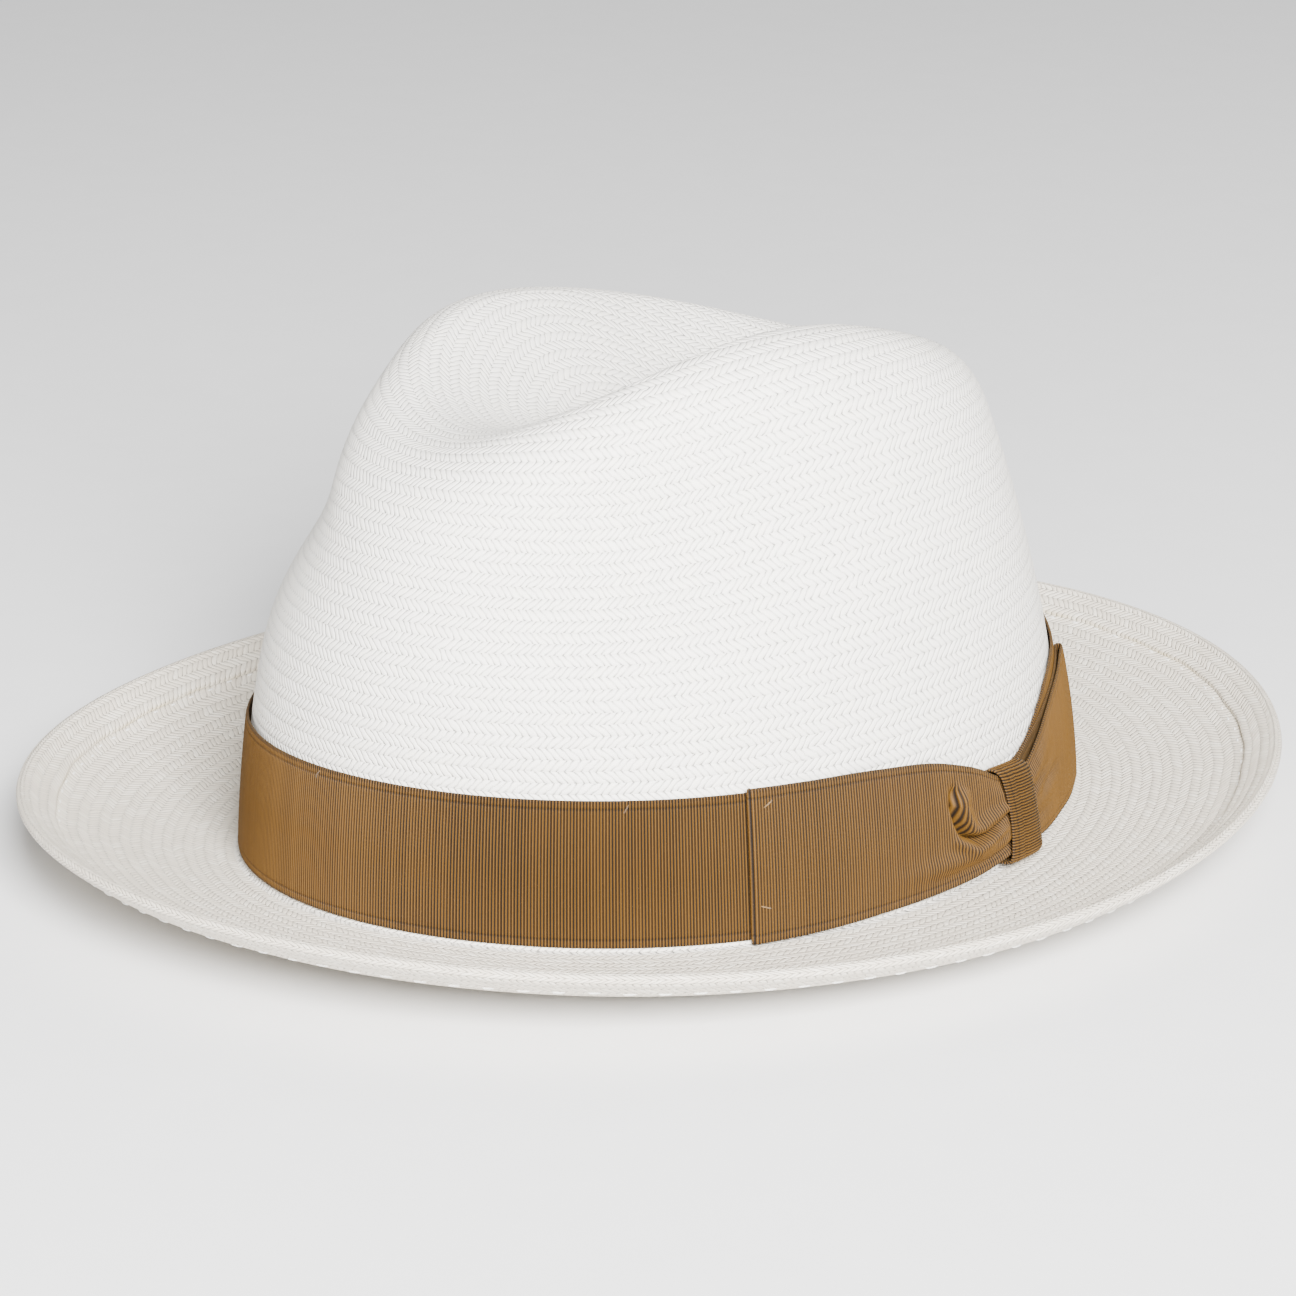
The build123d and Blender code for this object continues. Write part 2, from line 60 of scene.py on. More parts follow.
SIDE_TAPER, FRONT_TAPER, BACK_TAPER = (5.62, 10.61, 0.74), (4.29, 15.76), (11.65, 15.72)
EGG0, EGG1 = 0.03, 0.04
PINCH_ANGLE, PINCH_WIDTH = 41.45, 35.0
PINCH_DEPTH, PINCH_Z, PINCH_LOW, PINCH_HIGH = 10.71, 83.85, 20.89, 60.0
DENT_Y, DENT_FRONT, DENT_BACK, DENT_SIDE = 15.0, 71.41, 60.09, 43.9
DENT_POWER, DENT_FLOOR, DENT_SHAPE = 2.5, 85.93, 1.5
LIP_WIDTH, LIP_DROP = 32.05, 17.94
RIDGE_Z, BACK_DROP, RIDGE_TILT, RIDGE_ROUND = 117.42, -20.74, 3.7, 13.99
EYE_Z = 18.0
OPEN_1, OPEN_2, BREAK_R, RIBBON_CLEAR = 0.93, -2.86, 2.0, 1.2
RIM_A, RIM_B, RIM_Y = 136.78, 151.85, 1.74
RIM_Z, RIM_1, RIM_2, RIM_4, RIM_3, RIM_EGG = 12.57, -1.20, -2.39, -0.11, 0.32, -0.02
CURL, CURL_W = 3.0, 14.0
RIBBON_T, BAND_GAP = 0.6, 0.45
BAND_1, BAND_2, BAND_3, BAND_Z = 1.51, -3.12, 1.01, 31.8
CINCH_P, CINCH_DROP, CINCH_FRONT, CINCH_BACK = 17.0, 11.5, 17.0, 13.0
BAND_FACE = BAND_GAP + RIBBON_T
RNG = np.random.default_rng(7)


# ------------------------------------------------------------------ surfaces
def crown_gap(x, y, z):
    s = np.clip(z, -10.0, 140.0) / 100.0
    a = CROWN_A - SIDE_TAPER[0] * s - SIDE_TAPER[1] * s**2 - SIDE_TAPER[2] * s**3
    bf = CROWN_B - FRONT_TAPER[0] * s - FRONT_TAPER[1] * s**2
    bb = CROWN_B - BACK_TAPER[0] * s - BACK_TAPER[1] * s**2
    sn = np.sin(np.arctan2(y / CROWN_B, x / CROWN_A))
    w = 0.5 * (1 + np.sin(sn * np.pi / 2))
    b = bf * (1 - w) + bb * w
    a = a * (1 + (EGG0 + EGG1 * s) * sn)
    r = np.maximum(np.hypot(x, y), 1e-3)
    rr = np.maximum(np.hypot(x / a, y / b), r / 110.0)
    aa = np.degrees(np.arctan2(np.abs(x), -y))
    g = np.exp(-(((aa - PINCH_ANGLE) / PINCH_WIDTH) ** 2)) + np.exp(-(((aa + PINCH_ANGLE) / PINCH_WIDTH) ** 2))
    g = g * np.exp(-(((z - PINCH_Z) / np.where(z < PINCH_Z, PINCH_LOW, PINCH_HIGH)) ** 2))
    wall = (rr - 1) * r / rr + PINCH_DEPTH * g
    yc = y - DENT_Y
    rho = np.hypot(x, yc) + 1e-9
    cs, sc = x / rho, yc / rho
    w2 = 0.5 * (1 + np.tanh(sc * 2) / math.tanh(2))
    cy = DENT_FRONT * (1 - w2) + DENT_BACK * w2
    rc = 1 / ((np.abs(cs) / DENT_SIDE) ** DENT_POWER + (np.abs(sc) / cy) ** DENT_POWER) ** (1 / DENT_POWER)
    fa = np.degrees(np.arctan2(np.abs(x), -yc))
    crest = RIDGE_Z + BACK_DROP * (0.5 * (1 + sc)) ** 2.5 - LIP_DROP * np.exp(-((fa / LIP_WIDTH) ** 2)) + RIDGE_TILT * cs
    q = np.minimum(rho / rc, 1.0)
    inside = rho < rc
    top = np.where(inside, crest - (crest - DENT_FLOOR) * (1 - q * q) ** DENT_SHAPE, crest - (rho - rc) ** 2 / 100.0)
    steep = np.where(inside, (crest - DENT_FLOOR) / rc * 4.8 * q * (1 - q * q), 0.0)
    lid = (z - top) / np.sqrt(1 + steep * steep)
    h = np.maximum(RIDGE_ROUND - np.abs(wall - lid), 0.0) / RIDGE_ROUND
    return np.maximum(wall, lid) + h * h * RIDGE_ROUND / 4


def heading(p):
    x, y = CROWN_A * np.cos(np.radians(p)), CROWN_B * np.sin(np.radians(p))
    r = np.hypot(x, y)
    return x / r, y / r


def wall_point(p, z, off):
    """Point on the crown's side at angle p and height z, off out from it."""
    p, z, off = np.broadcast_arrays(np.asarray(p, float), np.asarray(z, float), np.asarray(off, float))
    ux, uy = heading(p)
    lo, hi = np.full(p.shape, 40.0), np.full(p.shape, 140.0)
    for _ in range(26):
        m = (lo + hi) / 2
        out = crown_gap(ux * m, uy * m, z) > off
        hi, lo = np.where(out, m, hi), np.where(out, lo, m)
    return np.stack([ux * lo, uy * lo, z], -1)


def open_z(p):
    a = np.radians(p)
    return OPEN_1 * np.sin(a) + OPEN_2 * np.cos(2 * a) - RIBBON_CLEAR


def ray(ux, uy, theta, off):
    st, ct = np.sin(theta), np.cos(theta)
    lo, hi = np.full(theta.shape, 3.0), np.full(theta.shape, 190.0)
    for _ in range(28):
        m = (lo + hi) / 2
        out = crown_gap(ux * st * m, uy * st * m, EYE_Z + ct * m) > off
        hi, lo = np.where(out, m, hi), np.where(out, lo, m)
    return np.stack([ux * st * lo, uy * st * lo, EYE_Z + ct * lo], -1)


def crown_rings(p, shares, off):
    """Rings at even shares of each meridian's length, from the dent's middle."""
    pc = np.linspace(0, 360, 97)
    ux, uy = heading(pc)
    foot = open_z(pc) + BREAK_R
    q = wall_point(pc, foot, off)
    last = np.arctan2(np.hypot(q[:, 0], q[:, 1]), foot - EYE_Z)
    th = last[:, None] * np.linspace(0, 1, 161)[None]
    pts = ray(ux[:, None] + 0 * th, uy[:, None] + 0 * th, th, off)
    run = np.concatenate([np.zeros((97, 1)), np.cumsum(np.linalg.norm(np.diff(pts, axis=1), axis=2), axis=1)], 1)
    run /= run[:, -1:]
    table = np.stack([np.interp(shares, run[k], th[k]) for k in range(97)], 1)
    theta = np.stack([np.interp(p, pc, row) for row in table], 0)
    ux, uy = heading(p)
    return ray(ux[None] + 0 * theta, uy[None] + 0 * theta, theta, off)


def rim_point(p):
    a = np.radians(p)
    s, c = np.sin(a), np.cos(a)
    return np.stack(
        [RIM_A * c * (1 + RIM_EGG * s), RIM_B * s + RIM_Y,
         RIM_Z + RIM_1 * s + RIM_2 * np.cos(2 * a) + RIM_4 * np.cos(4 * a) + RIM_3 * np.sin(3 * a)], -1)


class Brim:
    """The brim's upper face along the angles p."""

    def __init__(self, p):
        self.p = np.asarray(p, float)
        self.z0 = open_z(self.p)
        f = wall_point(self.p, self.z0 + BREAK_R, 0.0)
        r = rim_point(self.p)
        w0 = np.hypot(r[..., 0] - f[..., 0], r[..., 1] - f[..., 1])
        self.ux, self.uy = (r[..., 0] - f[..., 0]) / w0, (r[..., 1] - f[..., 1]) / w0
        self.bx, self.by = f[..., 0] + self.ux * BREAK_R, f[..., 1] + self.uy * BREAK_R
        self.w, self.h = w0 - BREAK_R, r[..., 2] - self.z0

    def at(self, d, depth=0.0):
        a = np.clip((d - (self.w - CURL_W)) / CURL_W, 0.0, 1.0)
        rise = (self.h - CURL) * (d / self.w) ** 2 + CURL * a * a * (1.5 - 0.5 * a)
        slope = 2 * (self.h - CURL) * d / self.w**2 + CURL * (3 * a - 1.5 * a * a) / CURL_W
        k = np.sqrt(1 + slope * slope)
        d2 = d + depth * slope / k
        pt = np.stack([self.bx + self.ux * d2, self.by + self.uy * d2, self.z0 + rise - depth / k], -1)
        out = np.stack([self.ux / k, self.uy / k, slope / k], -1)
        up = np.stack([-self.ux * slope / k, -self.uy * slope / k, 1 / k], -1)
        return pt, out, up


def put(pts):
    return (np.asarray(pts) + np.array([0.0, SHIFT_Y, LIFT])) * 1e-3


def step(a, b, x):
    t = np.clip((np.asarray(x, float) - a) / (b - a), 0, 1)
    return t * t * (3 - 2 * t)


# -------------------------------------------------------------------- meshes
def make_mesh(name, verts, faces, uvs=None, attrs=None, tris=None, tri_uvs=None):
    """Mesh from quads (and triangles), with a map given for each face corner."""
    me = bpy.data.meshes.new(name)
    nq = len(faces)
    nt = 0 if tris is None else len(tris)
    me.vertices.add(len(verts))
    me.vertices.foreach_set("co", np.asarray(verts, np.float32).ravel())
    loops = np.concatenate([np.asarray(faces).ravel()] + ([np.asarray(tris).ravel()] if nt else []))
    me.loops.add(len(loops))
    me.loops.foreach_set("vertex_index", loops.astype(np.int32))
    start = np.concatenate([np.arange(nq) * 4, nq * 4 + np.arange(nt) * 3])
    me.polygons.add(nq + nt)
    me.polygons.foreach_set("loop_start", start.astype(np.int32))
    me.polygons.foreach_set("use_smooth", np.ones(nq + nt, bool))
    me.update(calc_edges=True)
    if uvs is not None:
        allu = np.concatenate([np.asarray(uvs).reshape(-1, 2)] + ([np.asarray(tri_uvs).reshape(-1, 2)] if nt else []))
        layer = me.uv_layers.new(name="weave")
        layer.uv.foreach_set("vector", allu.astype(np.float32).ravel())
    for key, val in (attrs or {}).items():
        at = me.attributes.new(key, "FLOAT", "POINT")
        at.data.foreach_set("value", np.asarray(val, np.float32).ravel())
    me.validate()
    ob = bpy.data.objects.new(name, me)
    bpy.context.scene.collection.objects.link(ob)
    return ob


def normals(grid, closed_u=False):
    if closed_u:
        du = np.roll(grid, -1, 0) - np.roll(grid, 1, 0)
    else:
        du = np.gradient(grid, axis=0)
    dt = np.gradient(grid, axis=1)
    n = np.cross(du, dt)
    return n / np.maximum(np.linalg.norm(n, axis=-1, keepdims=True), 1e-12)


def strip(name, mid, thick, s_mm, e_mm, relief=0.0, closed=False, flip=False, back=None):
    """Closed ribbon round the middle surface mid[u, t], with rounded edges."""
    nu, nt = mid.shape[:2]
    n = normals(mid, closed) * (-1 if flip else 1)
    relief = relief + np.zeros((nu, nt))
    back = relief if back is None else back
    top = mid + n * (thick / 2 + relief)[..., None]
    low = mid - n * (thick / 2 + back)[..., None]
    edge0 = mid[:, 0] - (mid[:, 1] - mid[:, 0]) / np.linalg.norm(mid[:, 1] - mid[:, 0], axis=-1, keepdims=True) * thick * 0.3
    edge1 = mid[:, -1] + (mid[:, -1] - mid[:, -2]) / np.linalg.norm(mid[:, -1] - mid[:, -2], axis=-1, keepdims=True) * thick * 0.3
    loop = np.concatenate([top, edge1[:, None], low[:, ::-1], edge0[:, None]], 1)
    m = loop.shape[1]
    s = np.broadcast_to(np.asarray(s_mm, float)[:, None] if np.ndim(s_mm) == 1 else s_mm, (nu, nt))
    e = np.broadcast_to(e_mm, (nu, nt))
    s_l = np.concatenate([s, s[:, -1:], s[:, ::-1], s[:, :1]], 1)
    e_l = np.concatenate([e, e[:, -1:] * 0, e[:, ::-1], e[:, :1] * 0], 1)
    iu = np.arange(nu if closed else nu - 1)
    jt = np.arange(m)
    I, J = np.meshgrid(iu, jt, indexing="ij")
    I2, J2 = (I + 1) % nu, (J + 1) % m
    quad = np.stack([I * m + J, I2 * m + J, I2 * m + J2, I * m + J2], -1).reshape(-1, 4)
    su = s_l.copy()
    total = s_l[-1] + (s_l[-1] - s_l[-2])
    nxt = np.where((I2 == 0)[..., None], total[J][..., None], su[I2, J][..., None])[..., 0]
    nxt2 = np.where((I2 == 0)[..., None], total[J2][..., None], su[I2, J2][..., None])[..., 0]
    uv = np.stack([np.stack([su[I, J], e_l[I, J]], -1), np.stack([nxt, e_l[I2, J]], -1),
                   np.stack([nxt2, e_l[I2, J2]], -1), np.stack([su[I, J2], e_l[I, J2]], -1)], 2).reshape(-1, 4, 2)
    verts = loop.reshape(-1, 3)
    quads, uvs = [quad], [uv]
    tris, tuv = [], []
    if not closed:
        for i, turn in ((0, False), (nu - 1, True)):
            base = i * m
            for k in range(nt - 1):
                a, b = base + k, base + k + 1
                c, d = base + 2 * nt - k - 1, base + 2 * nt - k
                f = [a, b, c, d]
                quads.append(np.array([f[::-1] if turn else f]))
                uvs.append(np.zeros((1, 4, 2)) + np.array([s_l[i, k], e_l[i, k]]))
            for f in ([base + nt - 1, base + nt, base + nt + 1], [base, base + 2 * nt, base + 2 * nt + 1]):
                if f[0] == base:
                    f = [base + 2 * nt + 1, base, base + 2 * nt]
                tris.append(f[::-1] if turn else f)
                tuv.append(np.zeros((3, 2)) + np.array([s_l[i, 0], 0]))
    if flip:
        quads = [q[:, ::-1] for q in quads]
        uvs = [u[:, ::-1] for u in uvs]
        tris = [t[::-1] for t in tris]
    return make_mesh(name, put(verts), np.concatenate(quads), np.concatenate(uvs), None,
                     np.array(tris) if tris else None, np.array(tuv) if tris else None)


def threads(name, centre, along, up, length, radius, bow=0.35, seg=8, rings=9):
    """Short stitches of thread whose ends dive into the surface."""
    c, a, n = (np.asarray(v, float) for v in (centre, along, up))
    n = n / np.linalg.norm(n, axis=-1, keepdims=True)
    a = a - n * (a * n).sum(-1, keepdims=True)
    a = a / np.linalg.norm(a, axis=-1, keepdims=True)
    b = np.cross(n, a)
    t = np.linspace(-1, 1, rings)
    rad = radius * np.sqrt(np.maximum(1 - np.abs(t) ** 6, 0.06))
    lift = -bow * t**4
    length = np.broadcast_to(np.asarray(length, float), (len(c),))
    phi = np.linspace(0, 2 * np.pi, seg, endpoint=False)
    twist = 1 + 0.10 * np.cos(3 * phi[None] + 9 * t[:, None])
    pts = (c[:, None, None] + a[:, None, None] * (t[None, :, None, None] * (length / 2)[:, None, None, None])
           + n[:, None, None] * (lift[None, :, None, None] + (rad[:, None] * twist * np.sin(phi)[None])[None, ..., None])
           + b[:, None, None] * (rad[:, None] * twist * np.cos(phi)[None])[None, ..., None])
    k = len(c)
    base = (np.arange(k) * rings * seg)[:, None, None]
    I, J = np.meshgrid(np.arange(rings - 1), np.arange(seg), indexing="ij")
    q = np.stack([I * seg + J, I * seg + (J + 1) % seg, (I + 1) * seg + (J + 1) % seg, (I + 1) * seg + J], -1).reshape(-1, 4)
    quads = (q[None] + base).reshape(-1, 4)
    uvq = np.stack([np.stack([J / seg, I * 0.6], -1), np.stack([(J + 1) / seg, I * 0.6], -1),
                    np.stack([(J + 1) / seg, (I + 1) * 0.6], -1), np.stack([J / seg, (I + 1) * 0.6], -1)], 2).reshape(-1, 4, 2)
    uvs = np.broadcast_to(uvq[None], (k,) + uvq.shape).reshape(-1, 4, 2)
    caps = []
    for j in range(1, seg - 1):
        caps.append([0, j + 1, j])
        o = (rings - 1) * seg
        caps.append([o, o + j, o + j + 1])
    tris = (np.array(caps)[None] + (np.arange(k) * rings * seg)[:, None, None]).reshape(-1, 3)
    return make_mesh(name, put(pts.reshape(-1, 3)), quads, uvs, None, tris, np.zeros((len(tris), 3, 2)))


# ----------------------------------------------------------------- materials
class Nodes:
    """Small helper that writes node maths as expressions."""

    def __init__(self, name):
        self.mat = bpy.data.materials.new(name)
        self.mat.use_nodes = True
        self.t = self.mat.node_tree
        self.t.nodes.clear()
        self.out = self.t.nodes.new("ShaderNodeOutputMaterial")
        self.bsdf = self.t.nodes.new("ShaderNodeBsdfPrincipled")
        self.t.links.new(self.bsdf.outputs[0], self.out.inputs[0])

    def node(self, kind, **ins):
        n = self.t.nodes.new(kind)
        for k, v in ins.items():
            self.feed(n.inputs[k.replace("_", " ")], v)
        return n

    def feed(self, sock, v):
        if isinstance(v, bpy.types.NodeSocket):
            self.t.links.new(v, sock)
        else:
            sock.default_value = v

    def m(self, op, a, b=0.0, c=0.0):
        n = self.t.nodes.new("ShaderNodeMath")
        n.operation = op
        for s, v in zip(n.inputs, (a, b, c)):
            self.feed(s, v)
        return n.outputs[0]

    def ramp(self, x, lo, hi, to0=0.0, to1=1.0):
        n = self.t.nodes.new("ShaderNodeMapRange")
        n.interpolation_type = "SMOOTHSTEP"
        for s, v in zip(n.inputs, (x, lo, hi, to0, to1)):
            self.feed(s, v)
        return n.outputs[0]

    def uv(self):
        n = self.t.nodes.new("ShaderNodeUVMap")
        n.uv_map = "weave"
        s = self.t.nodes.new("ShaderNodeSeparateXYZ")
        self.t.links.new(n.outputs[0], s.inputs[0])
        return s.outputs[0], s.outputs[1]

    def attr(self, name):
        n = self.t.nodes.new("ShaderNodeAttribute")
        n.attribute_name = name
        return n.outputs["Fac"]

    def xyz(self, x, y, z=0.0):
        n = self.t.nodes.new("ShaderNodeCombineXYZ")
        for s, v in zip(n.inputs, (x, y, z)):
            self.feed(s, v)
        return n.outputs[0]

    def place(self):
        return self.t.nodes.new("ShaderNodeTexCoord").outputs["Object"]

    def noise(self, vec, scale, detail=2.0, rough=0.5):
        n = self.t.nodes.new("ShaderNodeTexNoise")
        self.feed(n.inputs["Vector"], vec)
        n.inputs["Scale"].default_value = scale
        n.inputs["Detail"].default_value = detail
        n.inputs["Roughness"].default_value = rough
        return n.outputs[0]

    def white(self, vec):
        n = self.t.nodes.new("ShaderNodeTexWhiteNoise")
        n.noise_dimensions = "3D"
        self.feed(n.inputs["Vector"], vec)
        return n.outputs["Value"]

    def mix(self, f, a, b):
        n = self.t.nodes.new("ShaderNodeMix")
        n.data_type = "RGBA"
        self.feed(n.inputs[0], f)
        self.feed(n.inputs[6], a)
        self.feed(n.inputs[7], b)
        return n.outputs[2]

    def shade(self, col, f):
        """Colour times a plain number."""
        n = self.t.nodes.new("ShaderNodeVectorMath")
        n.operation = "SCALE"
        self.feed(n.inputs[0], col)
        self.feed(n.inputs["Scale"], f)
        return n.outputs[0]

    def bump(self, height, dist, strength=1.0, normal=None):
        n = self.t.nodes.new("ShaderNodeBump")
        n.inputs["Strength"].default_value = strength
        n.inputs["Distance"].default_value = dist
        self.feed(n.inputs["Height"], height)
        if normal is not None:
            self.feed(n.inputs["Normal"], normal)
        return n.outputs[0]

    def finish(self, col, rough, normal=None, **flat):
        self.feed(self.bsdf.inputs["Base Color"], col)
        self.feed(self.bsdf.inputs["Roughness"], rough)
        if normal is not None:
            self.feed(self.bsdf.inputs["Normal"], normal)
        for k, v in flat.items():
            self.bsdf.inputs[k.replace("_", " ")].default_value = v
        return self.mat


def straw_material():
    k = Nodes("straw_weave")
    m = k.m
    u, v = k.uv()
    row = m("FLOOR", v)
    fv = m("SUBTRACT", v, row)
    side = m("SUBTRACT", 1.0, m("MULTIPLY", 2.0, m("FLOORED_MODULO", row, 2.0)))
    cross = m("SUBTRACT", fv, 0.5)
    wob = m("MULTIPLY", m("SUBTRACT", k.noise(k.xyz(u, v), 0.42, 3.0), 0.5), 1.5)
    q = m("ADD", m("ADD", u, m("MULTIPLY", side, m("MULTIPLY", cross, 1.3))), wob)
    cell = m("FLOOR", q)
    t = m("SUBTRACT", q, cell)
    edge = m("ABSOLUTE", m("SUBTRACT", m("MULTIPLY", t, 2.0), 1.0))
    rim = m("ABSOLUTE", m("MULTIPLY", cross, 2.0))
    strand = m("SUBTRACT", 1.0, m("POWER", edge, 2.6))
    ends = m("SUBTRACT", 1.0, m("POWER", rim, 3.5))
    dive = m("ADD", 0.48, m("MULTIPLY", m("POWER", rim, 1.6), 0.52))
    height = m("MULTIPLY", m("SUBTRACT", 1.0, m("MULTIPLY", m("POWER", edge, 3.4), dive)), m("ADD", 0.60, m("MULTIPLY", ends, 0.40)))
    fibre = k.noise(k.xyz(m("MULTIPLY", q, 11.0), m("MULTIPLY", v, 0.8), cell), 1.0, 3.0, 0.6)
    # Painted shade between the strands: this mask only darkens the colour below, where the strands part.
    painted_gap_shade = m("MULTIPLY", k.ramp(edge, 0.62, 0.98), k.ramp(rim, 0.55, 1.0))
    lot = k.white(k.xyz(cell, row, 0.5))
    big = k.noise(k.place(), 28.0, 3.0)
    # This mix takes the crown's straw colour towards the brim's warmer, deeper one. The warmth is the straw's own; the
    # deeper value is in part painted shade on the brim. The break, the root and the inside of the crown take part of
    # the mix.
    tone_and_shade = k.attr("tone_and_shade")
    base = k.mix(tone_and_shade, (0.90, 0.868, 0.805, 1), (0.70, 0.63, 0.52, 1))
    base = k.mix(m("MULTIPLY", k.ramp(lot, 0.55, 1.0), 0.35), base, (0.86, 0.82, 0.72, 1))
    light = m("ADD", 0.93, m("MULTIPLY", lot, 0.06))
    light = m("ADD", light, m("MULTIPLY", m("SUBTRACT", fibre, 0.5), 0.10))
    light = m("ADD", light, m("MULTIPLY", m("SUBTRACT", big, 0.5), 0.05))
    # Painted shade: the colour is darker where the weave's height is low, darker still in the gaps between the
    # strands, and much darker in the needle holes.
    light = m("MULTIPLY", light, m("ADD", 0.72, m("MULTIPLY", k.ramp(height, 0.0, 0.5), 0.28)))
    light = m("MULTIPLY", light, m("SUBTRACT", 1.0, m("MULTIPLY", painted_gap_shade, m("ADD", 0.15, m("MULTIPLY", k.white(k.xyz(cell, row, 7.5)), 0.65)))))
    light = m("MULTIPLY", light, m("SUBTRACT", 1.0, m("MULTIPLY", k.attr("painted_hole_shade"), 0.86)))
    col = k.shade(base, light)
    col = k.mix(m("MULTIPLY", k.attr("edge"), 0.75), col, (0.52, 0.42, 0.22, 1))
    tall = m("ADD", height, m("MULTIPLY", fibre, 0.10))
    rough = m("ADD", 0.46, m("MULTIPLY", fibre, 0.18))
    return k.finish(col, rough, k.bump(tall, 0.00042, 1.0), Specular_IOR_Level=0.45, Sheen_Weight=0.05)


def grosgrain_material(name, base, dark_and_groove_shade, pitch=0.7):
    k = Nodes(name)
    m = k.m
    s, e = k.uv()
    ph = m("MULTIPLY", s, 2 * math.pi / pitch)
    rib = m("MULTIPLY", m("ADD", m("COSINE", ph), 1.0), 0.5)
    selv = m("MULTIPLY", k.ramp(e, 1.35, 1.6), k.ramp(e, 2.15, 1.9))
    outer = k.ramp(e, 0.75, 0.35)
    yarn = k.noise(k.xyz(m("MULTIPLY", s, 1.6), m("MULTIPLY", e, 5.5)), 1.0, 3.0, 0.65)
    warp = m("MULTIPLY", m("ADD", m("SINE", m("ADD", m("MULTIPLY", e, 22.0), m("MULTIPLY", m("FLOOR", m("DIVIDE", s, pitch)), 3.14159))), 1.0), 0.5)
    lot = k.white(k.xyz(m("FLOOR", m("ADD", m("DIVIDE", s, pitch), 0.5)), 3.0, 1.0))
    big = k.noise(k.place(), 35.0, 3.0)
    # Painted shade: the colour follows the ribs and is darker in their grooves. Yarn, lot and big noise are the
    # ribbon's own variation; selv darkens a line along each selvedge, and outer darkens the last 0.75 mm of each edge.
    f = m("ADD", m("MULTIPLY", rib, 0.70), m("MULTIPLY", yarn, 0.22))
    f = m("ADD", f, m("MULTIPLY", lot, 0.10))
    f = m("ADD", f, m("MULTIPLY", m("SUBTRACT", big, 0.5), 0.25))
    f = m("SUBTRACT", f, m("MULTIPLY", selv, 0.16))
    f = m("SUBTRACT", f, m("MULTIPLY", outer, 0.10))
    col = k.mix(k.ramp(f, 0.10, 0.90), dark_and_groove_shade, base)
    tall = m("ADD", m("MULTIPLY", rib, 0.8), m("ADD", m("MULTIPLY", yarn, 0.18), m("MULTIPLY", warp, 0.10)))
    tall = m("SUBTRACT", tall, m("MULTIPLY", selv, 0.4))
    rough = m("SUBTRACT", 0.72, m("MULTIPLY", rib, 0.14))
    return k.finish(col, rough, k.bump(tall, 0.00020, 0.9), Specular_IOR_Level=0.22, Sheen_Weight=0.04,
                    Sheen_Roughness=0.4, Sheen_Tint=(0.85, 0.62, 0.34, 1))


def thread_material(name, base, dark_and_groove_shade):
    k = Nodes(name)
    m = k.m
    u, v = k.uv()
    ply = m("MULTIPLY", m("ADD", m("SINE", m("ADD", m("MULTIPLY", u, 18.85), m("MULTIPLY", v, 6.0))), 1.0), 0.5)
    fuzz = k.noise(k.place(), 2400.0, 2.0)
    # Painted shade: the colour is darker in the grooves between the twisted plies; fuzz noise is the thread's own
    # variation.
    col = k.mix(m("ADD", m("MULTIPLY", ply, 0.7), m("MULTIPLY", fuzz, 0.3)), dark_and_groove_shade, base)
    return k.finish(col, m("ADD", 0.6, m("MULTIPLY", fuzz, 0.2)), k.bump(ply, 0.00006, 0.6), Sheen_Weight=0.2)


def leather_material():
    k = Nodes("sweatband_leather")
    m = k.m
    place = k.place()
    cell = k.t.nodes.new("ShaderNodeTexVoronoi")
    cell.feature = "DISTANCE_TO_EDGE"
    cell.inputs["Scale"].default_value = 1300.0
    k.feed(cell.inputs["Vector"], place)
    grain = k.ramp(cell.outputs[0], 0.0, 0.16)
    big = k.noise(place, 22.0, 4.0)
    fine = k.noise(place, 380.0, 3.0)
    s, e = k.uv()
    crease = m("MULTIPLY", k.ramp(e, 2.9, 3.1), k.ramp(e, 3.5, 3.3))
    edge = k.ramp(e, 0.5, 0.1)
    f = m("ADD", m("MULTIPLY", big, 0.75), m("MULTIPLY", fine, 0.35))
    col = k.mix(k.ramp(f, 0.25, 0.85), (0.50, 0.31, 0.16, 1), (0.66, 0.46, 0.28, 1))
    col = k.mix(m("MULTIPLY", m("MAXIMUM", edge, crease), 0.55), col, (0.33, 0.19, 0.09, 1))
    tall = m("SUBTRACT", m("ADD", m("MULTIPLY", grain, 0.6), m("MULTIPLY", fine, 0.4)), m("MULTIPLY", crease, 1.6))
    return k.finish(col, m("ADD", 0.42, m("MULTIPLY", fine, 0.2)), k.bump(tall, 0.00012, 0.5), Specular_IOR_Level=0.45)


def cloth_material(name, base, dark_and_groove_shade, scale=1500.0):
    k = Nodes(name)
    m = k.m
    s = k.t.nodes.new("ShaderNodeSeparateXYZ")
    k.feed(s.inputs[0], k.place())
    ang = m("MULTIPLY", m("ARCTAN2", s.outputs[1], s.outputs[0]), 90.0)
    a = m("MULTIPLY", m("ADD", m("SINE", m("MULTIPLY", ang, scale / 150.0)), 1.0), 0.5)
    b = m("MULTIPLY", m("ADD", m("SINE", m("MULTIPLY", s.outputs[2], scale * 6.28)), 1.0), 0.5)
    w = m("MULTIPLY", m("ADD", a, b), 0.5)
    big = k.noise(k.place(), 60.0, 3.0)
    # Painted shade: the colour is darker in the weave's troughs, the same pattern as its bump; big noise is the
    # cloth's own variation.
    col = k.mix(m("ADD", m("MULTIPLY", w, 0.7), m("MULTIPLY", big, 0.3)), dark_and_groove_shade, base)
    return k.finish(col, m("ADD", 0.7, m("MULTIPLY", w, 0.12)), k.bump(w, 0.00008, 0.6), Sheen_Weight=0.2)


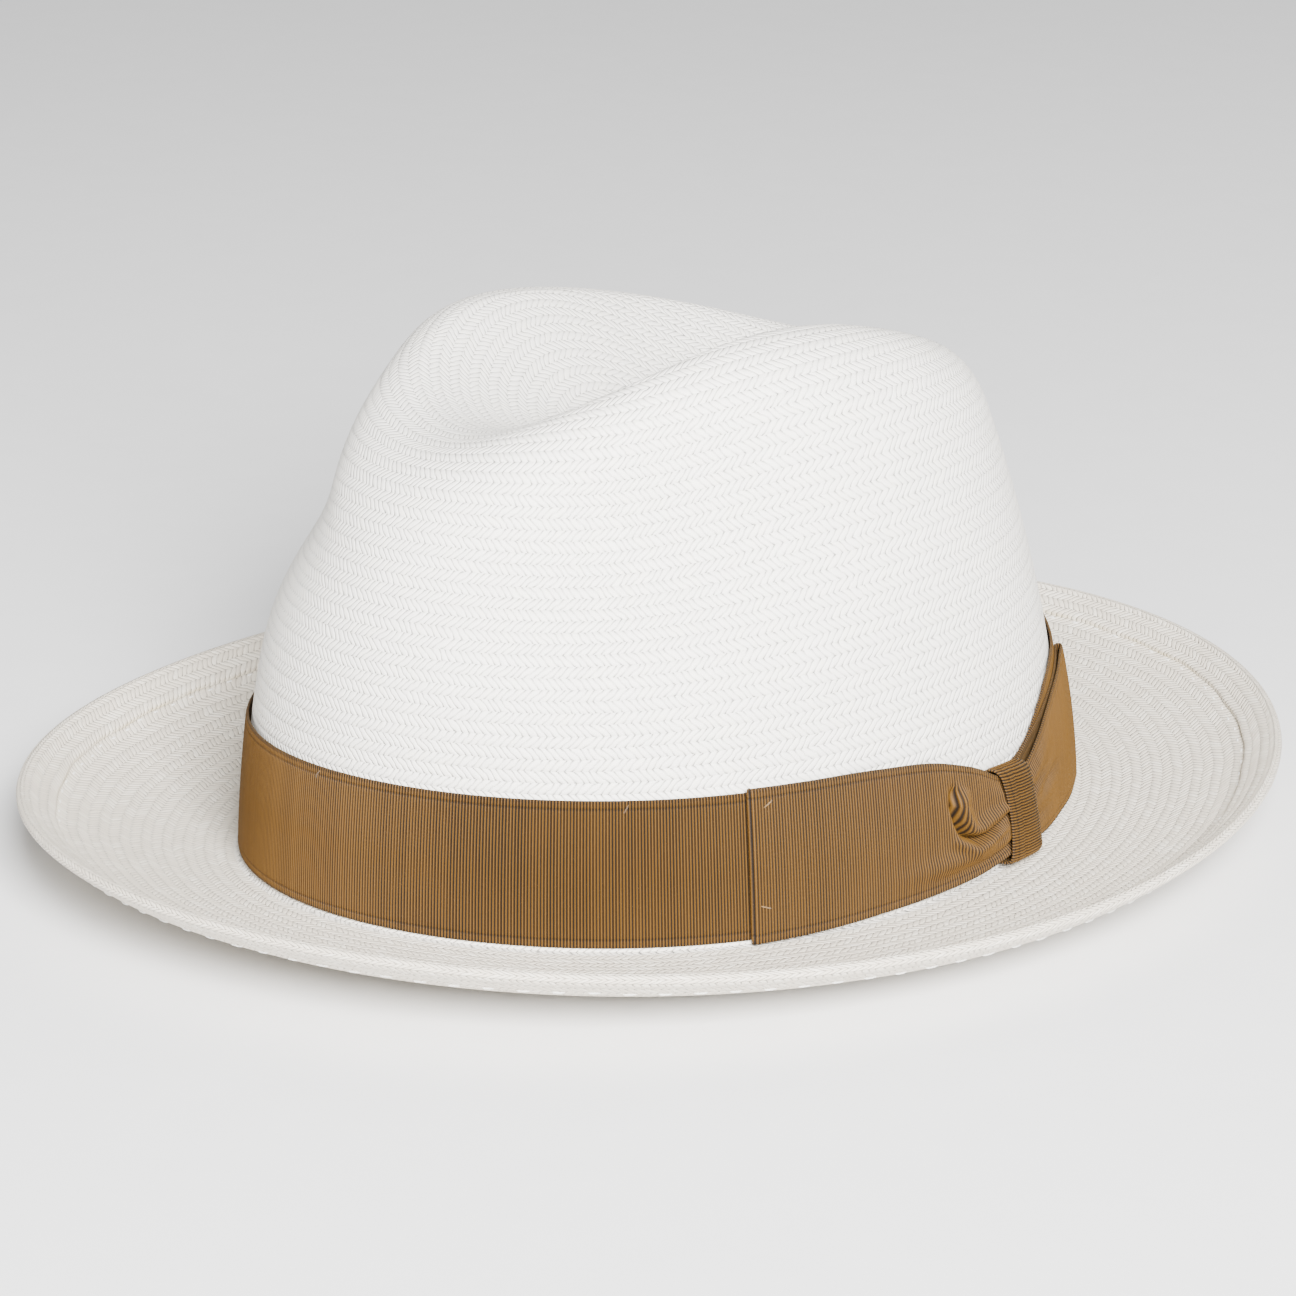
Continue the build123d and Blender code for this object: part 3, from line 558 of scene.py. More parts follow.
def cane_material():
    k = Nodes("reed_cane")
    m = k.m
    s = k.t.nodes.new("ShaderNodeSeparateXYZ")
    k.feed(s.inputs[0], k.place())
    fib = k.noise(k.xyz(m("MULTIPLY", m("ARCTAN2", s.outputs[1], s.outputs[0]), 6.0), 0.0, m("MULTIPLY", s.outputs[2], 3000.0)), 1.0, 3.0)
    col = k.mix(k.ramp(fib, 0.3, 0.75), (0.42, 0.29, 0.15, 1), (0.62, 0.47, 0.28, 1))
    return k.finish(col, m("ADD", 0.4, m("MULTIPLY", fib, 0.2)), k.bump(fib, 0.0001, 0.5))


STRAW = straw_material()
# The second tan is the darkest end of the grosgrain's mix, reached mostly in the rib grooves as painted shade.
TAN, TAN_DARK_AND_GROOVE_SHADE = (0.096, 0.044, 0.0055, 1), (0.0040, 0.0015, 0.0002, 1)
GROSGRAIN = grosgrain_material("grosgrain_tan", TAN, TAN_DARK_AND_GROOVE_SHADE)
# Each thread's second colour is the painted shade in the grooves between its plies.
WHITE_THREAD = thread_material("white_thread", (0.88, 0.87, 0.83, 1), (0.66, 0.64, 0.58, 1))
TAN_THREAD = thread_material("tan_thread", (0.20, 0.11, 0.03, 1), (0.07, 0.035, 0.009, 1))
BAND_THREAD = thread_material("band_thread", (0.10, 0.047, 0.009, 1), (0.03, 0.013, 0.002, 1))
LEATHER = leather_material()
# The second colour of the tape here and of the label below is painted shade in the weave's troughs.
TAPE = cloth_material("tape_cotton", (0.82, 0.77, 0.66, 1), (0.62, 0.56, 0.45, 1))
CANE = cane_material()
LABEL = cloth_material("label_weave", (0.86, 0.84, 0.78, 1), (0.66, 0.63, 0.56, 1), 2200.0)


def dress(ob, mat, slot, *nodes):
    ob.data.materials.clear()
    ob.data.materials.append(mat)
    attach(ob, "root")
    if nodes:
        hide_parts(*nodes)
    return ob


# ---------------------------------------------------------------- straw body
NC = 960
P = np.arange(NC) * 360.0 / NC
brim = Brim(P)
rings, row_no, row_part, amp, tone_and_shade, painted_hole_shade, edge = [], [], [], [], [], [], []


def add_ring(pts, row, part, a, tn, hl=None, ed=0.0):
    rings.append(pts)
    row_no.append(row)
    row_part.append(part)
    amp.append(a)
    tone_and_shade.append(tn)
    painted_hole_shade.append(np.zeros(NC) if hl is None else hl)
    edge.append(np.zeros(NC) + ed)


CROWN_ROWS, K = 72, 4
shares = np.arange(1, CROWN_ROWS * K + 1) / (CROWN_ROWS * K)
outer = crown_rings(P, shares, 0.0)
for i, pts in enumerate(outer):
    add_ring(pts, (i + 1) // K, ((i + 1) % K) / K, 0.20, 0.0)

# the break, where the crown turns into the brim, with its line of needle holes
ring_len = np.linalg.norm(np.diff(np.vstack([outer[-1], outer[-1][:1]]), axis=0), axis=1)
run = np.concatenate([[0], np.cumsum(ring_len)[:-1]])
near = np.abs(((run + 1.8) % 3.6) - 1.8)
for i in range(1, 7):
    a = np.radians(90 * i / 6)
    cx = 1 - np.sin(a)
    pts = np.stack([brim.bx - brim.ux * BREAK_R * np.cos(a), brim.by - brim.uy * BREAK_R * np.cos(a),
                    brim.z0 + BREAK_R - BREAK_R * np.sin(a)], -1)
    # Needle holes: dented 0.4 mm, and their mask also paints the straw much darker there as painted shade inside the
    # holes.
    hl = (near < 0.34) * 0.75 if i == 5 else None
    if hl is not None:
        pts = pts - np.stack([brim.ux * 0, brim.uy * 0, hl * 0.4], -1)
    add_ring(pts, 90 + (i // 4), (i % 4) / 4, 0.10, 0.5, hl)

# upper face of the brim, up to the cut edge of the folded hem
HEM = 8.3
wander = 0.22 * np.sin(np.radians(P * 7 + 20)) + 0.16 * np.sin(np.radians(P * 17)) + 0.12 * np.sin(np.radians(P * 41 + 70))
cut = brim.w - HEM + wander
ROWS_TOP = 17
for i in range(1, ROWS_TOP * K + 1):
    d = cut * i / (ROWS_TOP * K)
    dip = -0.16 * np.exp(-(((cut - d) - 0.9) / 0.8) ** 2)
    pt, _, up = brim.at(d)
    add_ring(pt + up * dip[:, None], 100 + i // K, (i % K) / K, 0.20, 1.0)
pt, _, up = brim.at(cut + 0.10)
fray = 0.55 + 0.45 * np.sin(np.radians(P * 23)) * np.sin(np.radians(P * 37 + 50))
add_ring(pt + up * (-0.12), 130, 0.0, 0.0, 1.0, None, fray)
pt, _, up = brim.at(cut + 0.22)
frayed = 0.55 + 0.12 * np.sin(np.radians(P * 131)) * np.sin(np.radians(P * 57))
add_ring(pt + up * frayed[:, None], 130, 0.1, 0.0, 1.0, None, 0.35 * fray)
HEM_UP = 0.72
hem_rings = 14
for i in range(1, hem_rings + 1):
    d = cut + 0.22 + (brim.w - 1.25 - cut - 0.22) * i / hem_rings
    lift = HEM_UP + 0.10 * np.sin(np.pi * i / hem_rings)
    pt, _, up = brim.at(d)
    add_ring(pt + up * lift, 130 + (i // K), (i % K) / K, 0.18, 1.0)
# the rolled rim
R = 1.18
base, out, up = brim.at(brim.w - R, 0.46)
for i in range(1, 10):
    a = np.radians(90 - 18 * i)
    add_ring(base + out * (R * np.cos(a)) + up * (R * np.sin(a)), 134 + i // 3, (i % 3) / 3, 0.10, 1.0)
# underside
ROWS_LOW, KL = 21, 3
for i in range(1, ROWS_LOW * KL + 1):
    d = (brim.w - R) * (1 - i / (ROWS_LOW * KL))
    back = brim.w - d
    depth = STRAW_T + 0.44 * step(9.2, 7.4, back)
    pt, _, up = brim.at(d, depth)
    add_ring(pt, 140 + i // KL, (i % KL) / KL, -0.16, 1.0)
for i in range(1, 5):
    a = np.radians(90 - 90 * i / 4)
    r = BREAK_R + STRAW_T
    pts = np.stack([brim.bx - brim.ux * r * np.cos(a), brim.by - brim.uy * r * np.cos(a),
                    brim.z0 + BREAK_R - r * np.sin(a)], -1)
    add_ring(pts, 170, 0.0, 0.0, 0.8)
INNER = 72 * 2
inside = crown_rings(P, 1 - np.arange(1, INNER) / INNER, -STRAW_T)
for i, pts in enumerate(inside):
    add_ring(pts, 180 + (i + 1) // 2, ((i + 1) % 2) / 2, 0.14, 0.25)

G = np.array(rings)
row_no, row_part = np.array(row_no), np.array(row_part)
du = np.roll(G, -1, 1) - np.roll(G, 1, 1)
dv = np.gradient(G, axis=0)
N = np.cross(dv, du)
N /= np.maximum(np.linalg.norm(N, axis=-1, keepdims=True), 1e-12)
girth = np.linalg.norm(np.roll(G, -1, 1) - G, axis=-1).sum(1)
count = {}
for r in np.unique(row_no):
    count[r] = max(6, int(round(girth[row_no == r].mean() / 1.72)))
per_ring = np.array([count[r] for r in row_no])
ang = np.arange(NC) / NC
side = 1 - 2 * (row_no % 2)
prof = 1 - np.abs(2 * row_part - 1) ** 2.4
ripple = np.where(np.array(tone_and_shade) < 0.4, 0.16, 0.0)[:, None]
wave = 1 - ripple + ripple * np.cos(2 * np.pi * (per_ring[:, None] * ang[None] + (side * 1.3 * (row_part - 0.5))[:, None]))
high = 0.42 * np.abs(np.array(amp))[:, None] * prof[:, None] * wave
soft = 0.0
G = G + N * high[..., None]
nr = len(G)
verts = [G.reshape(-1, 3)]
tops = crown_rings(np.array([0.0]), np.array([1e-4]), 0.0)[0, 0]
lows = crown_rings(np.array([0.0]), np.array([1e-4]), -STRAW_T)[0, 0]
verts += [tops[None], lows[None]]
I, J = np.meshgrid(np.arange(nr - 1), np.arange(NC), indexing="ij")
J2 = (J + 1) % NC
quads = np.stack([I * NC + J, (I + 1) * NC + J, (I + 1) * NC + J2, I * NC + J2], -1).reshape(-1, 4)
v0 = row_no + row_part
v1 = np.where(row_no[1:] != row_no[:-1], np.where(row_part[1:] == 0, row_no[:-1] + 1.0, v0[1:]), v0[1:])
n_face = per_ring[:-1]
ua, ub = n_face[I] * J / NC, n_face[I] * (J + 1) / NC
va, vb = v0[:-1][I], v1[I]
vb = np.where(vb - va > 1.01, va + 0.3, vb)
uv = np.stack([np.stack([ua, va], -1), np.stack([ua, vb], -1), np.stack([ub, vb], -1), np.stack([ub, va], -1)], 2).reshape(-1, 4, 2)
j = np.arange(NC)
j2 = (j + 1) % NC
tri = np.concatenate([np.stack([np.full(NC, nr * NC), j, j2], -1),
                      np.stack([(nr - 1) * NC + j, np.full(NC, nr * NC + 1), (nr - 1) * NC + j2], -1)])
tuv = np.zeros((len(tri), 3, 2))
tuv[:NC, :, 0] = np.stack([6 * j / NC, 6 * j / NC, 6 * (j + 1) / NC], -1)
tuv[:NC, 1:, 1] = 0.25
# Per-vertex attributes: the straw colour mix, partly painted shade on the brim; the painted shade of the needle holes;
# the cut edge's own colour.
tone_and_shade_v = np.concatenate([np.repeat(np.array(tone_and_shade), NC), [0.0, 0.25]])
painted_hole_shade_v = np.concatenate([np.array(painted_hole_shade).ravel(), [0, 0]])
straw = make_mesh("straw_weave", put(np.concatenate(verts)), quads, uv, {"tone_and_shade": tone_and_shade_v, "painted_hole_shade": painted_hole_shade_v, "edge": np.concatenate([np.array(edge).ravel(), [0, 0]])}, tri, tuv)
dress(straw, STRAW, "straw", "straw_body")


# ---------------------------------------------------------------- hem stitches
def even(line_fn, pitch, a0=0.0, a1=360.0):
    p = np.linspace(a0, a1, 3601)
    pts = line_fn(p)
    run = np.concatenate([[0], np.cumsum(np.linalg.norm(np.diff(pts, axis=0), axis=1))])
    n = int(run[-1] // pitch)
    return np.interp(np.arange(n) * (run[-1] / n), run, p)


marks = even(rim_point, 7.6)
jit = RNG.normal(0, 0.22, len(marks))
b = Brim(marks)
b2 = Brim(marks + 0.4)
depth = STRAW_T + 0.44 + 0.10
q, _, up = b.at(b.w - 6.4 + jit, depth)
q2, _, _ = b2.at(b2.w - 6.4 + jit, depth)
t1 = (q, q2 - q, -up, 3.4 + RNG.normal(0, 0.25, len(marks)))
b = Brim(marks + 1.5)
b2 = Brim(marks + 1.9)
q, _, up = b.at(b.w - 9.0 + jit)
q2, _, _ = b2.at(b2.w - 9.0 + jit)
t2 = (q - up * 0.14, q2 - q, up, 2.2 + RNG.normal(0, 0.2, len(marks)))
hem = threads("hem_threads", *[np.concatenate([x, y]) for x, y in zip(t1, t2)], 0.26)
dress(hem, WHITE_THREAD, "straw_thread", "hem_stitching")


# -------------------------------------------------------------------- hat band
def band_low(p):
    return open_z(p) + RIBBON_CLEAR


def band_high(p):
    a = np.radians(p)
    d = (p - CINCH_P + 180) % 360 - 180
    c = np.exp(-np.abs(d / np.where(d < 0, CINCH_FRONT, CINCH_BACK)) ** 2.2)
    return BAND_Z + BAND_1 * np.sin(a) + BAND_2 * np.cos(2 * a) + BAND_3 * np.cos(a) - CINCH_DROP * c


RIB = 0.7


def rib_angles(p0, p1, z, per=4):
    """Angles with a whole number of ribs between p0 and p1, per to a rib."""
    p = np.linspace(p0, p1, 2881)
    q = wall_point(p, z, BAND_FACE)
    run = np.concatenate([[0], np.cumsum(np.linalg.norm(np.diff(q, axis=0), axis=1))])
    n = int(round(run[-1] / RIB)) * per
    return np.interp(np.linspace(0, run[-1], n + 1), run, p), n


pa, n_rib = rib_angles(0, 360, 14.0)
pa = pa[:-1]
levels = np.array([0, 0.35, 0.8, 1.3, 1.75, 2.2, 3.2, 6, 10, 14, 18, 22, 25]) / 32.0
levels = np.concatenate([levels, 1 - levels[:7][::-1]])
lo, hi = band_low(pa), band_high(pa)
tt = levels[None] + 0 * pa[:, None]
zz = lo[:, None] + (hi - lo)[:, None] * tt
pp = pa[:, None] + 0 * tt
slack = 0.10 * np.sin(np.radians(pp * 3 + 40)) + 0.10 * np.sin(np.radians(pp * 5)) * tt
mid = wall_point(pp, zz, BAND_GAP + RIBBON_T / 2 + 0.16 + slack)
s = np.arange(n_rib) * RIB / 4
e = np.minimum(tt, 1 - tt) * 32.0
ribs = 0.15 * np.cos(2 * np.pi * s / RIB)[:, None] * step(0.1, 0.9, e)
groove = -0.07 * np.exp(-(((e - 1.75) / 0.3) ** 2))
band = strip("hat_band_ribbon", mid, RIBBON_T - 0.1, s, e, ribs + groove, closed=True, back=0.0 * ribs)
dress(band, GROSGRAIN, "grosgrain", "hat_band")


# -------------------------------------------------------------------- the bow
def interp(x, xs, ys):
    """Smooth line through a few values."""
    xs, ys = np.array(xs, float), np.array(ys, float)
    m = np.gradient(ys, xs)
    k = np.clip(np.searchsorted(xs, x) - 1, 0, len(xs) - 2)
    h = xs[k + 1] - xs[k]
    t = np.clip((x - xs[k]) / h, 0, 1)
    return ((2 * t**3 - 3 * t**2 + 1) * ys[k] + (t**3 - 2 * t**2 + t) * h * m[k]
            + (-2 * t**3 + 3 * t**2) * ys[k + 1] + (t**3 - t**2) * h * m[k + 1])


def wing(name, p_knot, p_end, top, bottom, face, pleat, gap_end, rows=40, turn=1):
    """Folded ribbon from the knot to its fold at p_end, and back under itself."""
    mid_z = 12.0
    pr, n = rib_angles(min(p_knot, p_end), max(p_knot, p_end), mid_z)
    if p_end < p_knot:
        pr = pr[::-1]
    x = np.linspace(0, 1, len(pr))
    t = np.concatenate([[0, 0.012, 0.03, 0.05, 0.07, 0.095, 0.13], np.linspace(0.17, 0.83, rows), [0.87, 0.905, 0.93, 0.95, 0.97, 0.988, 1]])
    X, T = np.meshgrid(x, t, indexing="ij")
    PP = pr[:, None] + 0 * T
    lo, hi = bottom(pr), top(pr)
    Z = lo[:, None] + (hi - lo)[:, None] * T
    OFF = BAND_FACE + face(X, T) + pleat(X, T)
    front = wall_point(PP, Z, OFF)
    # the turn at the fold, then the layer beneath
    arc_n = 9
    o_end = BAND_FACE + face(X, T)[-1] + pleat(X, T)[-1]
    r = gap_end / 2
    deg = 1.0 / 1.66
    arcs, under = [], []
    for i in range(1, arc_n):
        a = np.pi * i / arc_n
        arcs.append(wall_point(PP[-1] + turn * r * np.sin(a) * deg * 1.15, Z[-1], o_end - r * (1 - np.cos(a))))
    back_x = np.linspace(1, 0, 60)
    pb = np.interp(back_x, x, pr)
    Tb = t[None] + 0 * back_x[:, None]
    Xb = back_x[:, None] + 0 * Tb
    zb0, zb1 = bottom(pb) + 0.25, top(pb) - 0.25
    offb = np.maximum(BAND_FACE + 0.42 + 0.5 * (1 - Xb), (BAND_FACE + face(Xb, Tb) - gap_end) * 0 + BAND_FACE + 0.42)
    under = wall_point(pb[:, None] + 0 * Tb, zb0[:, None] + (zb1 - zb0)[:, None] * Tb,
                       np.minimum(offb, BAND_FACE + face(Xb, Tb) + pleat(Xb, Tb) - 0.75))
    mid = np.concatenate([front, np.array(arcs), under], 0)
    s = np.concatenate([np.arange(len(pr)) * RIB / 4, (len(pr) + np.arange(arc_n - 1)) * RIB / 4,
                        (len(pr) + arc_n) * RIB / 4 + np.arange(60) * 1.03])
    W = 32.0
    e = np.minimum(t, 1 - t)[None] * W + 0 * mid[..., 0]
    ribs = 0.15 * np.cos(2 * np.pi * s / RIB)
    ribs[len(pr) + arc_n - 1:] = 0
    ribs = ribs[:, None] * step(0.1, 0.9, e)
    groove = -0.06 * np.exp(-(((e - 1.75) / 0.3) ** 2))
    return strip(name, mid, 0.5, s, e, ribs + groove, flip=(turn < 0), back=0.0 * ribs)


FP = [-25.2, -18, -6.8, 4.75, 9.0, 12.0, 15.6]
f_top = lambda p: interp(p, FP, [31.3, 30.9, 29.8, 26.2, 23.2, 20.2, 18.4])
f_bot = lambda p: interp(p, FP, [-2.6, -2.65, -2.1, -1.2, -0.4, 0.6, 1.8])


def f_face(x, t):
    return 1.5 + 2.2 * step(0.50, 0.05, x) + 0.35 * step(0.86, 1.0, x) + 0.35 * np.sin(np.pi * t) * (1 - 0.4 * x)


def away(x, t, line, wide, tall):
    """Distance in mm to a crease line, and the side it is on."""
    best = np.full(np.broadcast(x, t).shape, 1e9)
    side = np.zeros(best.shape)
    for (x0, t0), (x1, t1) in zip(line, line[1:]):
        ax, at, bx, bt = x0 * wide, t0 * tall, x1 * wide, t1 * tall
        px, pt = x * wide - ax, t * tall - at
        ll = (bx - ax) ** 2 + (bt - at) ** 2
        h = np.clip((px * (bx - ax) + pt * (bt - at)) / ll, 0, 1)
        d = np.hypot(px - h * (bx - ax), pt - h * (bt - at))
        s1 = np.sign((bx - ax) * pt - (bt - at) * px)
        side = np.where(d < best, s1, side)
        best = np.minimum(best, d)
    return best, side


TUCK = [(0.285, 0.80), (0.292, 0.66), (0.276, 0.52), (0.252, 0.40), (0.215, 0.345), (0.175, 0.37), (0.12, 0.45), (0.07, 0.53)]


def f_pleat(x, t):
    d, side = away(x, t, TUCK, 64.0, 25.0)
    near = step(0.40, 0.16, x)
    fade = step(0.86, 0.70, t) + 0 * x
    crease = -2.6 * np.exp(-((d / 0.85) ** 2)) * fade * step(0.34, 0.28, x)
    inner = step(0.30, 0.262, x) * step(0.36, 0.44, t) * (side < 0) + 0.0
    puff = 1.7 * np.exp(-(((d - 2.1) / 1.5) ** 2)) * inner * fade
    lower = 1.9 * np.exp(-(((d - 1.7) / 1.4) ** 2)) * (side > 0) * step(0.42, 0.34, t) * near
    ridge = 1.15 * step(0.62, 0.20, x) * step(0.0, 0.10, x) * np.exp(-(((t - 0.235 + 0.10 * x) / 0.075) ** 2))
    under = -1.0 * step(0.50, 0.12, x) * np.exp(-(((t - 0.11) / 0.045) ** 2))
    waist = step(0.16, 0.05, x) * (0.45 * np.cos(2 * np.pi * 2.6 * t + 0.5))
    return crease + puff + lower + ridge + under + waist


front_wing = wing("front_wing_ribbon", 15.6, -25.2, f_top, f_bot, f_face, f_pleat, 1.35, turn=-1)
dress(front_wing, GROSGRAIN, "grosgrain", "bow_front_wing")

RP = [16.0, 19.0, 23.0, 30.0, 38.0, 44.0, 47.2]
r_top = lambda p: interp(p, RP, [18.0, 19.4, 22.4, 26.6, 30.0, 31.4, 31.6])
r_bot = lambda p: interp(p, RP, [2.0, 1.2, 0.6, 0.0, -0.4, -0.6, -0.7])


def r_face(x, t):
    return 1.5 + 2.2 * step(0.6, 0.05, x) + 0.35 * step(0.86, 1.0, x) + 0.3 * np.sin(np.pi * t)


def r_pleat(x, t):
    g = step(0.50, 0.03, x)
    folds = 1.25 * g * (np.exp(-(((t - 0.80) / 0.10) ** 2)) - 0.9 * np.exp(-(((t - 0.60) / 0.06) ** 2))
                        + 0.8 * np.exp(-(((t - 0.42) / 0.09) ** 2)) - 0.8 * np.exp(-(((t - 0.22) / 0.06) ** 2)))
    pocket = -1.5 * np.exp(-(((t - 0.44) / 0.06) ** 2)) * np.exp(-(((x - 0.34) / 0.16) ** 2))
    return folds + pocket


rear_wing = wing("rear_wing_ribbon", 16.0, 47.2, r_top, r_bot, r_face, r_pleat, 1.35, turn=1)
dress(rear_wing, GROSGRAIN, "grosgrain", "bow_rear_wing")

# knot: a strip of the same ribbon, doubled to its width, round the waist
wrap = []
half = 11.15
mid_z = 9.7
path = []
rc = 2.3
in0, out0 = BAND_FACE + 0.75, BAND_FACE + 5.6
for z in np.linspace(-half + rc, half - rc, 22):
    path.append((z, in0))
for a in np.linspace(-90, 0, 16)[1:]:
    path.append((half - rc + rc * np.cos(np.radians(a)), in0 + rc + rc * np.sin(np.radians(a))))
for a in np.linspace(0, 90, 16)[1:]:
    path.append((half - rc + rc * np.cos(np.radians(a)), out0 - rc + rc * np.sin(np.radians(a))))
for z in np.linspace(half - rc, -half + rc, 104)[1:]:
    path.append((z, out0 + 0.45 * (1 - (z / (half - rc)) ** 2)))
for a in np.linspace(90, 180, 16)[1:]:
    path.append((-half + rc + rc * np.cos(np.radians(a)), out0 - rc + rc * np.sin(np.radians(a))))
for a in np.linspace(180, 270, 16)[1:-1]:
    path.append((-half + rc + rc * np.cos(np.radians(a)), in0 + rc + rc * np.sin(np.radians(a))))
path = np.array(path)
d = np.linalg.norm(np.roll(path, -1, 0) - path, axis=1)
run = np.concatenate([[0], np.cumsum(d)])
n_k = int(round(run[-1] / RIB)) * 4
sk = np.linspace(0, run[-1], n_k + 1)[:-1]
closed = np.vstack([path, path[:1]])
zk = np.interp(sk, run, closed[:, 0])
ok = np.interp(sk, run, closed[:, 1])
tk = np.concatenate([[0, 0.03, 0.07, 0.12], np.linspace(0.18, 0.82, 14), [0.88, 0.93, 0.97, 1]])
Zk = zk[:, None] + mid_z + 0.45 - 0.9 * tk[None]
hz = (zk + half) / (2 * half)
p_l = 13.2 - 1.4 * hz + 0.35 * np.sin(np.pi * hz)
p_r = 20.4 - 2.2 * hz - 0.45 * np.sin(np.pi * hz)
Pk = p_l[:, None] + (p_r - p_l)[:, None] * tk[None]
crown_k = 0.55 * (1 - (2 * tk[None] - 1) ** 4) * step(in0 + 1, out0 - 0.5, ok)[:, None]
crease = -0.28 * np.exp(-(((tk[None] - 0.36) / 0.05) ** 2)) * step(in0 + 1, out0 - 0.5, ok)[:, None]
knot_mid = wall_point(Pk, Zk, ok[:, None] + crown_k - 0.55 + crease)
ek = np.minimum(tk, 1 - tk)[None] * 12.0 + 0 * Zk
ribs = 0.15 * np.cos(2 * np.pi * sk / RIB)[:, None] * step(0.1, 0.8, ek)
knot = strip("knot_ribbon", knot_mid, 0.5, sk * (RIB * n_k / 4 / run[-1]), ek, ribs, closed=True, back=0.0 * ribs)
dress(knot, GROSGRAIN, "grosgrain", "bow_knot")


# ------------------------------------------------------------------ small tacks
def side_dirs(p, z, off):
    c = wall_point(p, z, off)
    a = wall_point(np.asarray(p) + 0.5, z, off) - wall_point(np.asarray(p) - 0.5, z, off)
    u = wall_point(p, np.asarray(z) + 1.0, off) - c
    a /= np.linalg.norm(a, axis=-1, keepdims=True)
    u /= np.linalg.norm(u, axis=-1, keepdims=True)
    return c, a, u, np.cross(a, u)


pt = np.array([90.0, 150.0, 205.0, 270.0, 318.0])
c, a, u, n = side_dirs(pt, band_high(pt) - 1.6, np.full(5, BAND_FACE + 0.22))
ob = threads("band_tacks", c, a * 0.5 + u * 0.87, n, 2.2, 0.16, bow=0.25)
dress(ob, BAND_THREAD, "ribbon_thread", "band_tack_stitches")
c, a, u, n = side_dirs(np.array([-23.2, -24.0]), np.array([28.0, 5.4]), np.full(2, BAND_FACE + 2.35))
dirs = np.stack([a[0] * 0.82 + u[0] * 0.57, a[1] * 0.94 - u[1] * 0.34])
ob = threads("bow_tacks", c, dirs, n, 2.6, 0.17, bow=0.30)
dress(ob, TAN_THREAD, "ribbon_thread", "bow_tack_stitches")

# ------------------------------------------------------- inside: the sweatband
TAPE_T, REED_T, REED_H, LEATHER_T, LEATHER_H = 0.3, 1.0, 2.6, 0.8, 34.0
TAPE_OUT = -STRAW_T - 0.25
REED_LOW = 1.4
LEATHER_LOW = REED_LOW + REED_H + 0.6
LEATHER_OUT = TAPE_OUT - TAPE_T - 0.15
LEATHER_FACE = LEATHER_OUT - LEATHER_T
pl = np.linspace(0, 360, 721)[:-1]
tl = np.array([0, 0.01, 0.025, 0.05, 0.075, 0.09, 0.105, 0.15, 0.25, 0.35, 0.45, 0.55, 0.65, 0.75, 0.85, 0.93, 0.97, 0.99, 1.0])
TL = tl[None] + 0 * pl[:, None]
PL = pl[:, None] + 0 * TL
gather = 0.10 * np.sin(np.radians(PL * 9 + 30)) * TL + 0.16 * np.sin(np.radians(PL * 4 + 100)) * TL**2
seam = -0.30 * np.exp(-((PL - 90) / 0.7) ** 2)
ML = wall_point(PL, open_z(PL) + LEATHER_LOW + LEATHER_H * TL,
                LEATHER_OUT - LEATHER_T / 2 - 0.6 * TL - 0.15 - 0.3 * np.sin(np.pi * TL) - np.abs(gather) + seam)
el = np.minimum(TL, 1 - TL) * LEATHER_H
sl = pl / 360 * 560.0
lea = strip("sweatband_leather", ML, LEATHER_T - 0.1, sl, el, 0.0 * TL, closed=True)
dress(lea, LEATHER, "leather", "sweatband")

mk = even(lambda p: wall_point(p, 5.0, LEATHER_FACE), 4.6)
zst = open_z(mk) + LEATHER_LOW + 2.2
c, a, u, n = side_dirs(mk, zst, LEATHER_FACE - 0.32)
ob = threads("leather_threads", c, a, -n, 3.0, 0.17, bow=0.28)
dress(ob, TAN_THREAD, "ribbon_thread", "leather_stitching")

mk = even(lambda p: wall_point(p, 0.0, 0.0), 3.6)
b, b2 = Brim(mk), Brim(mk + 0.5)
r = BREAK_R + 0.02
sn, cn = math.sin(math.radians(42)), math.cos(math.radians(42))
q = np.stack([b.bx - b.ux * r * sn, b.by - b.uy * r * sn, b.z0 + BREAK_R - r * cn], -1)
q2 = np.stack([b2.bx - b2.ux * r * sn, b2.by - b2.uy * r * sn, b2.z0 + BREAK_R - r * cn], -1)
nn = np.stack([b.ux * sn, b.uy * sn, np.full(len(mk), cn)], -1)
ob = threads("root_threads", q, q2 - q, nn, 1.9, 0.14, bow=0.22)
dress(ob, WHITE_THREAD, "straw_thread", "sweatband_stitching")

zi = open_z(90) + LEATHER_LOW + 4.6 + 3.1 * np.arange(9)
oi = LEATHER_FACE - 0.62 - 0.6 * (4.6 + 3.1 * np.arange(9)) / LEATHER_H - 0.3
c, a, u, n = side_dirs(np.full(9, 90.0), zi, oi)
sg = np.where(np.arange(9) % 2 == 0, 1.0, -1.0)[:, None]
ob = threads("rear_seam_threads", c, a * 0.82 + u * 0.57 * sg, -n, 2.6, 0.17, bow=0.25)
dress(ob, TAN_THREAD, "ribbon_thread", "sweatband_rear_seam")

# the small bow at the back of the sweatband: two flat loops and a knot
c0, a0, u0, n0 = (v[0] for v in side_dirs(np.array([96.0]), np.array([open_z(96.0) + LEATHER_LOW + 7.5]), np.array([LEATHER_FACE - 2.3])))
sgn_bow = []
x = np.linspace(-1, 1, 61)
t = np.linspace(-1, 1, 9)
X, T = np.meshgrid(x, t, indexing="ij")
wide = 0.9 + 3.2 * step(0.04, 0.75, np.abs(X))
puff = 0.75 * np.sin(np.pi * np.clip(np.abs(X), 0, 1)) + 0.35
loop = c0 + a0 * (X * 11.6)[..., None] + u0 * (T * wide - 0.5 * np.abs(X))[..., None] - n0 * (puff * (1 - 0.25 * T**2))[..., None]
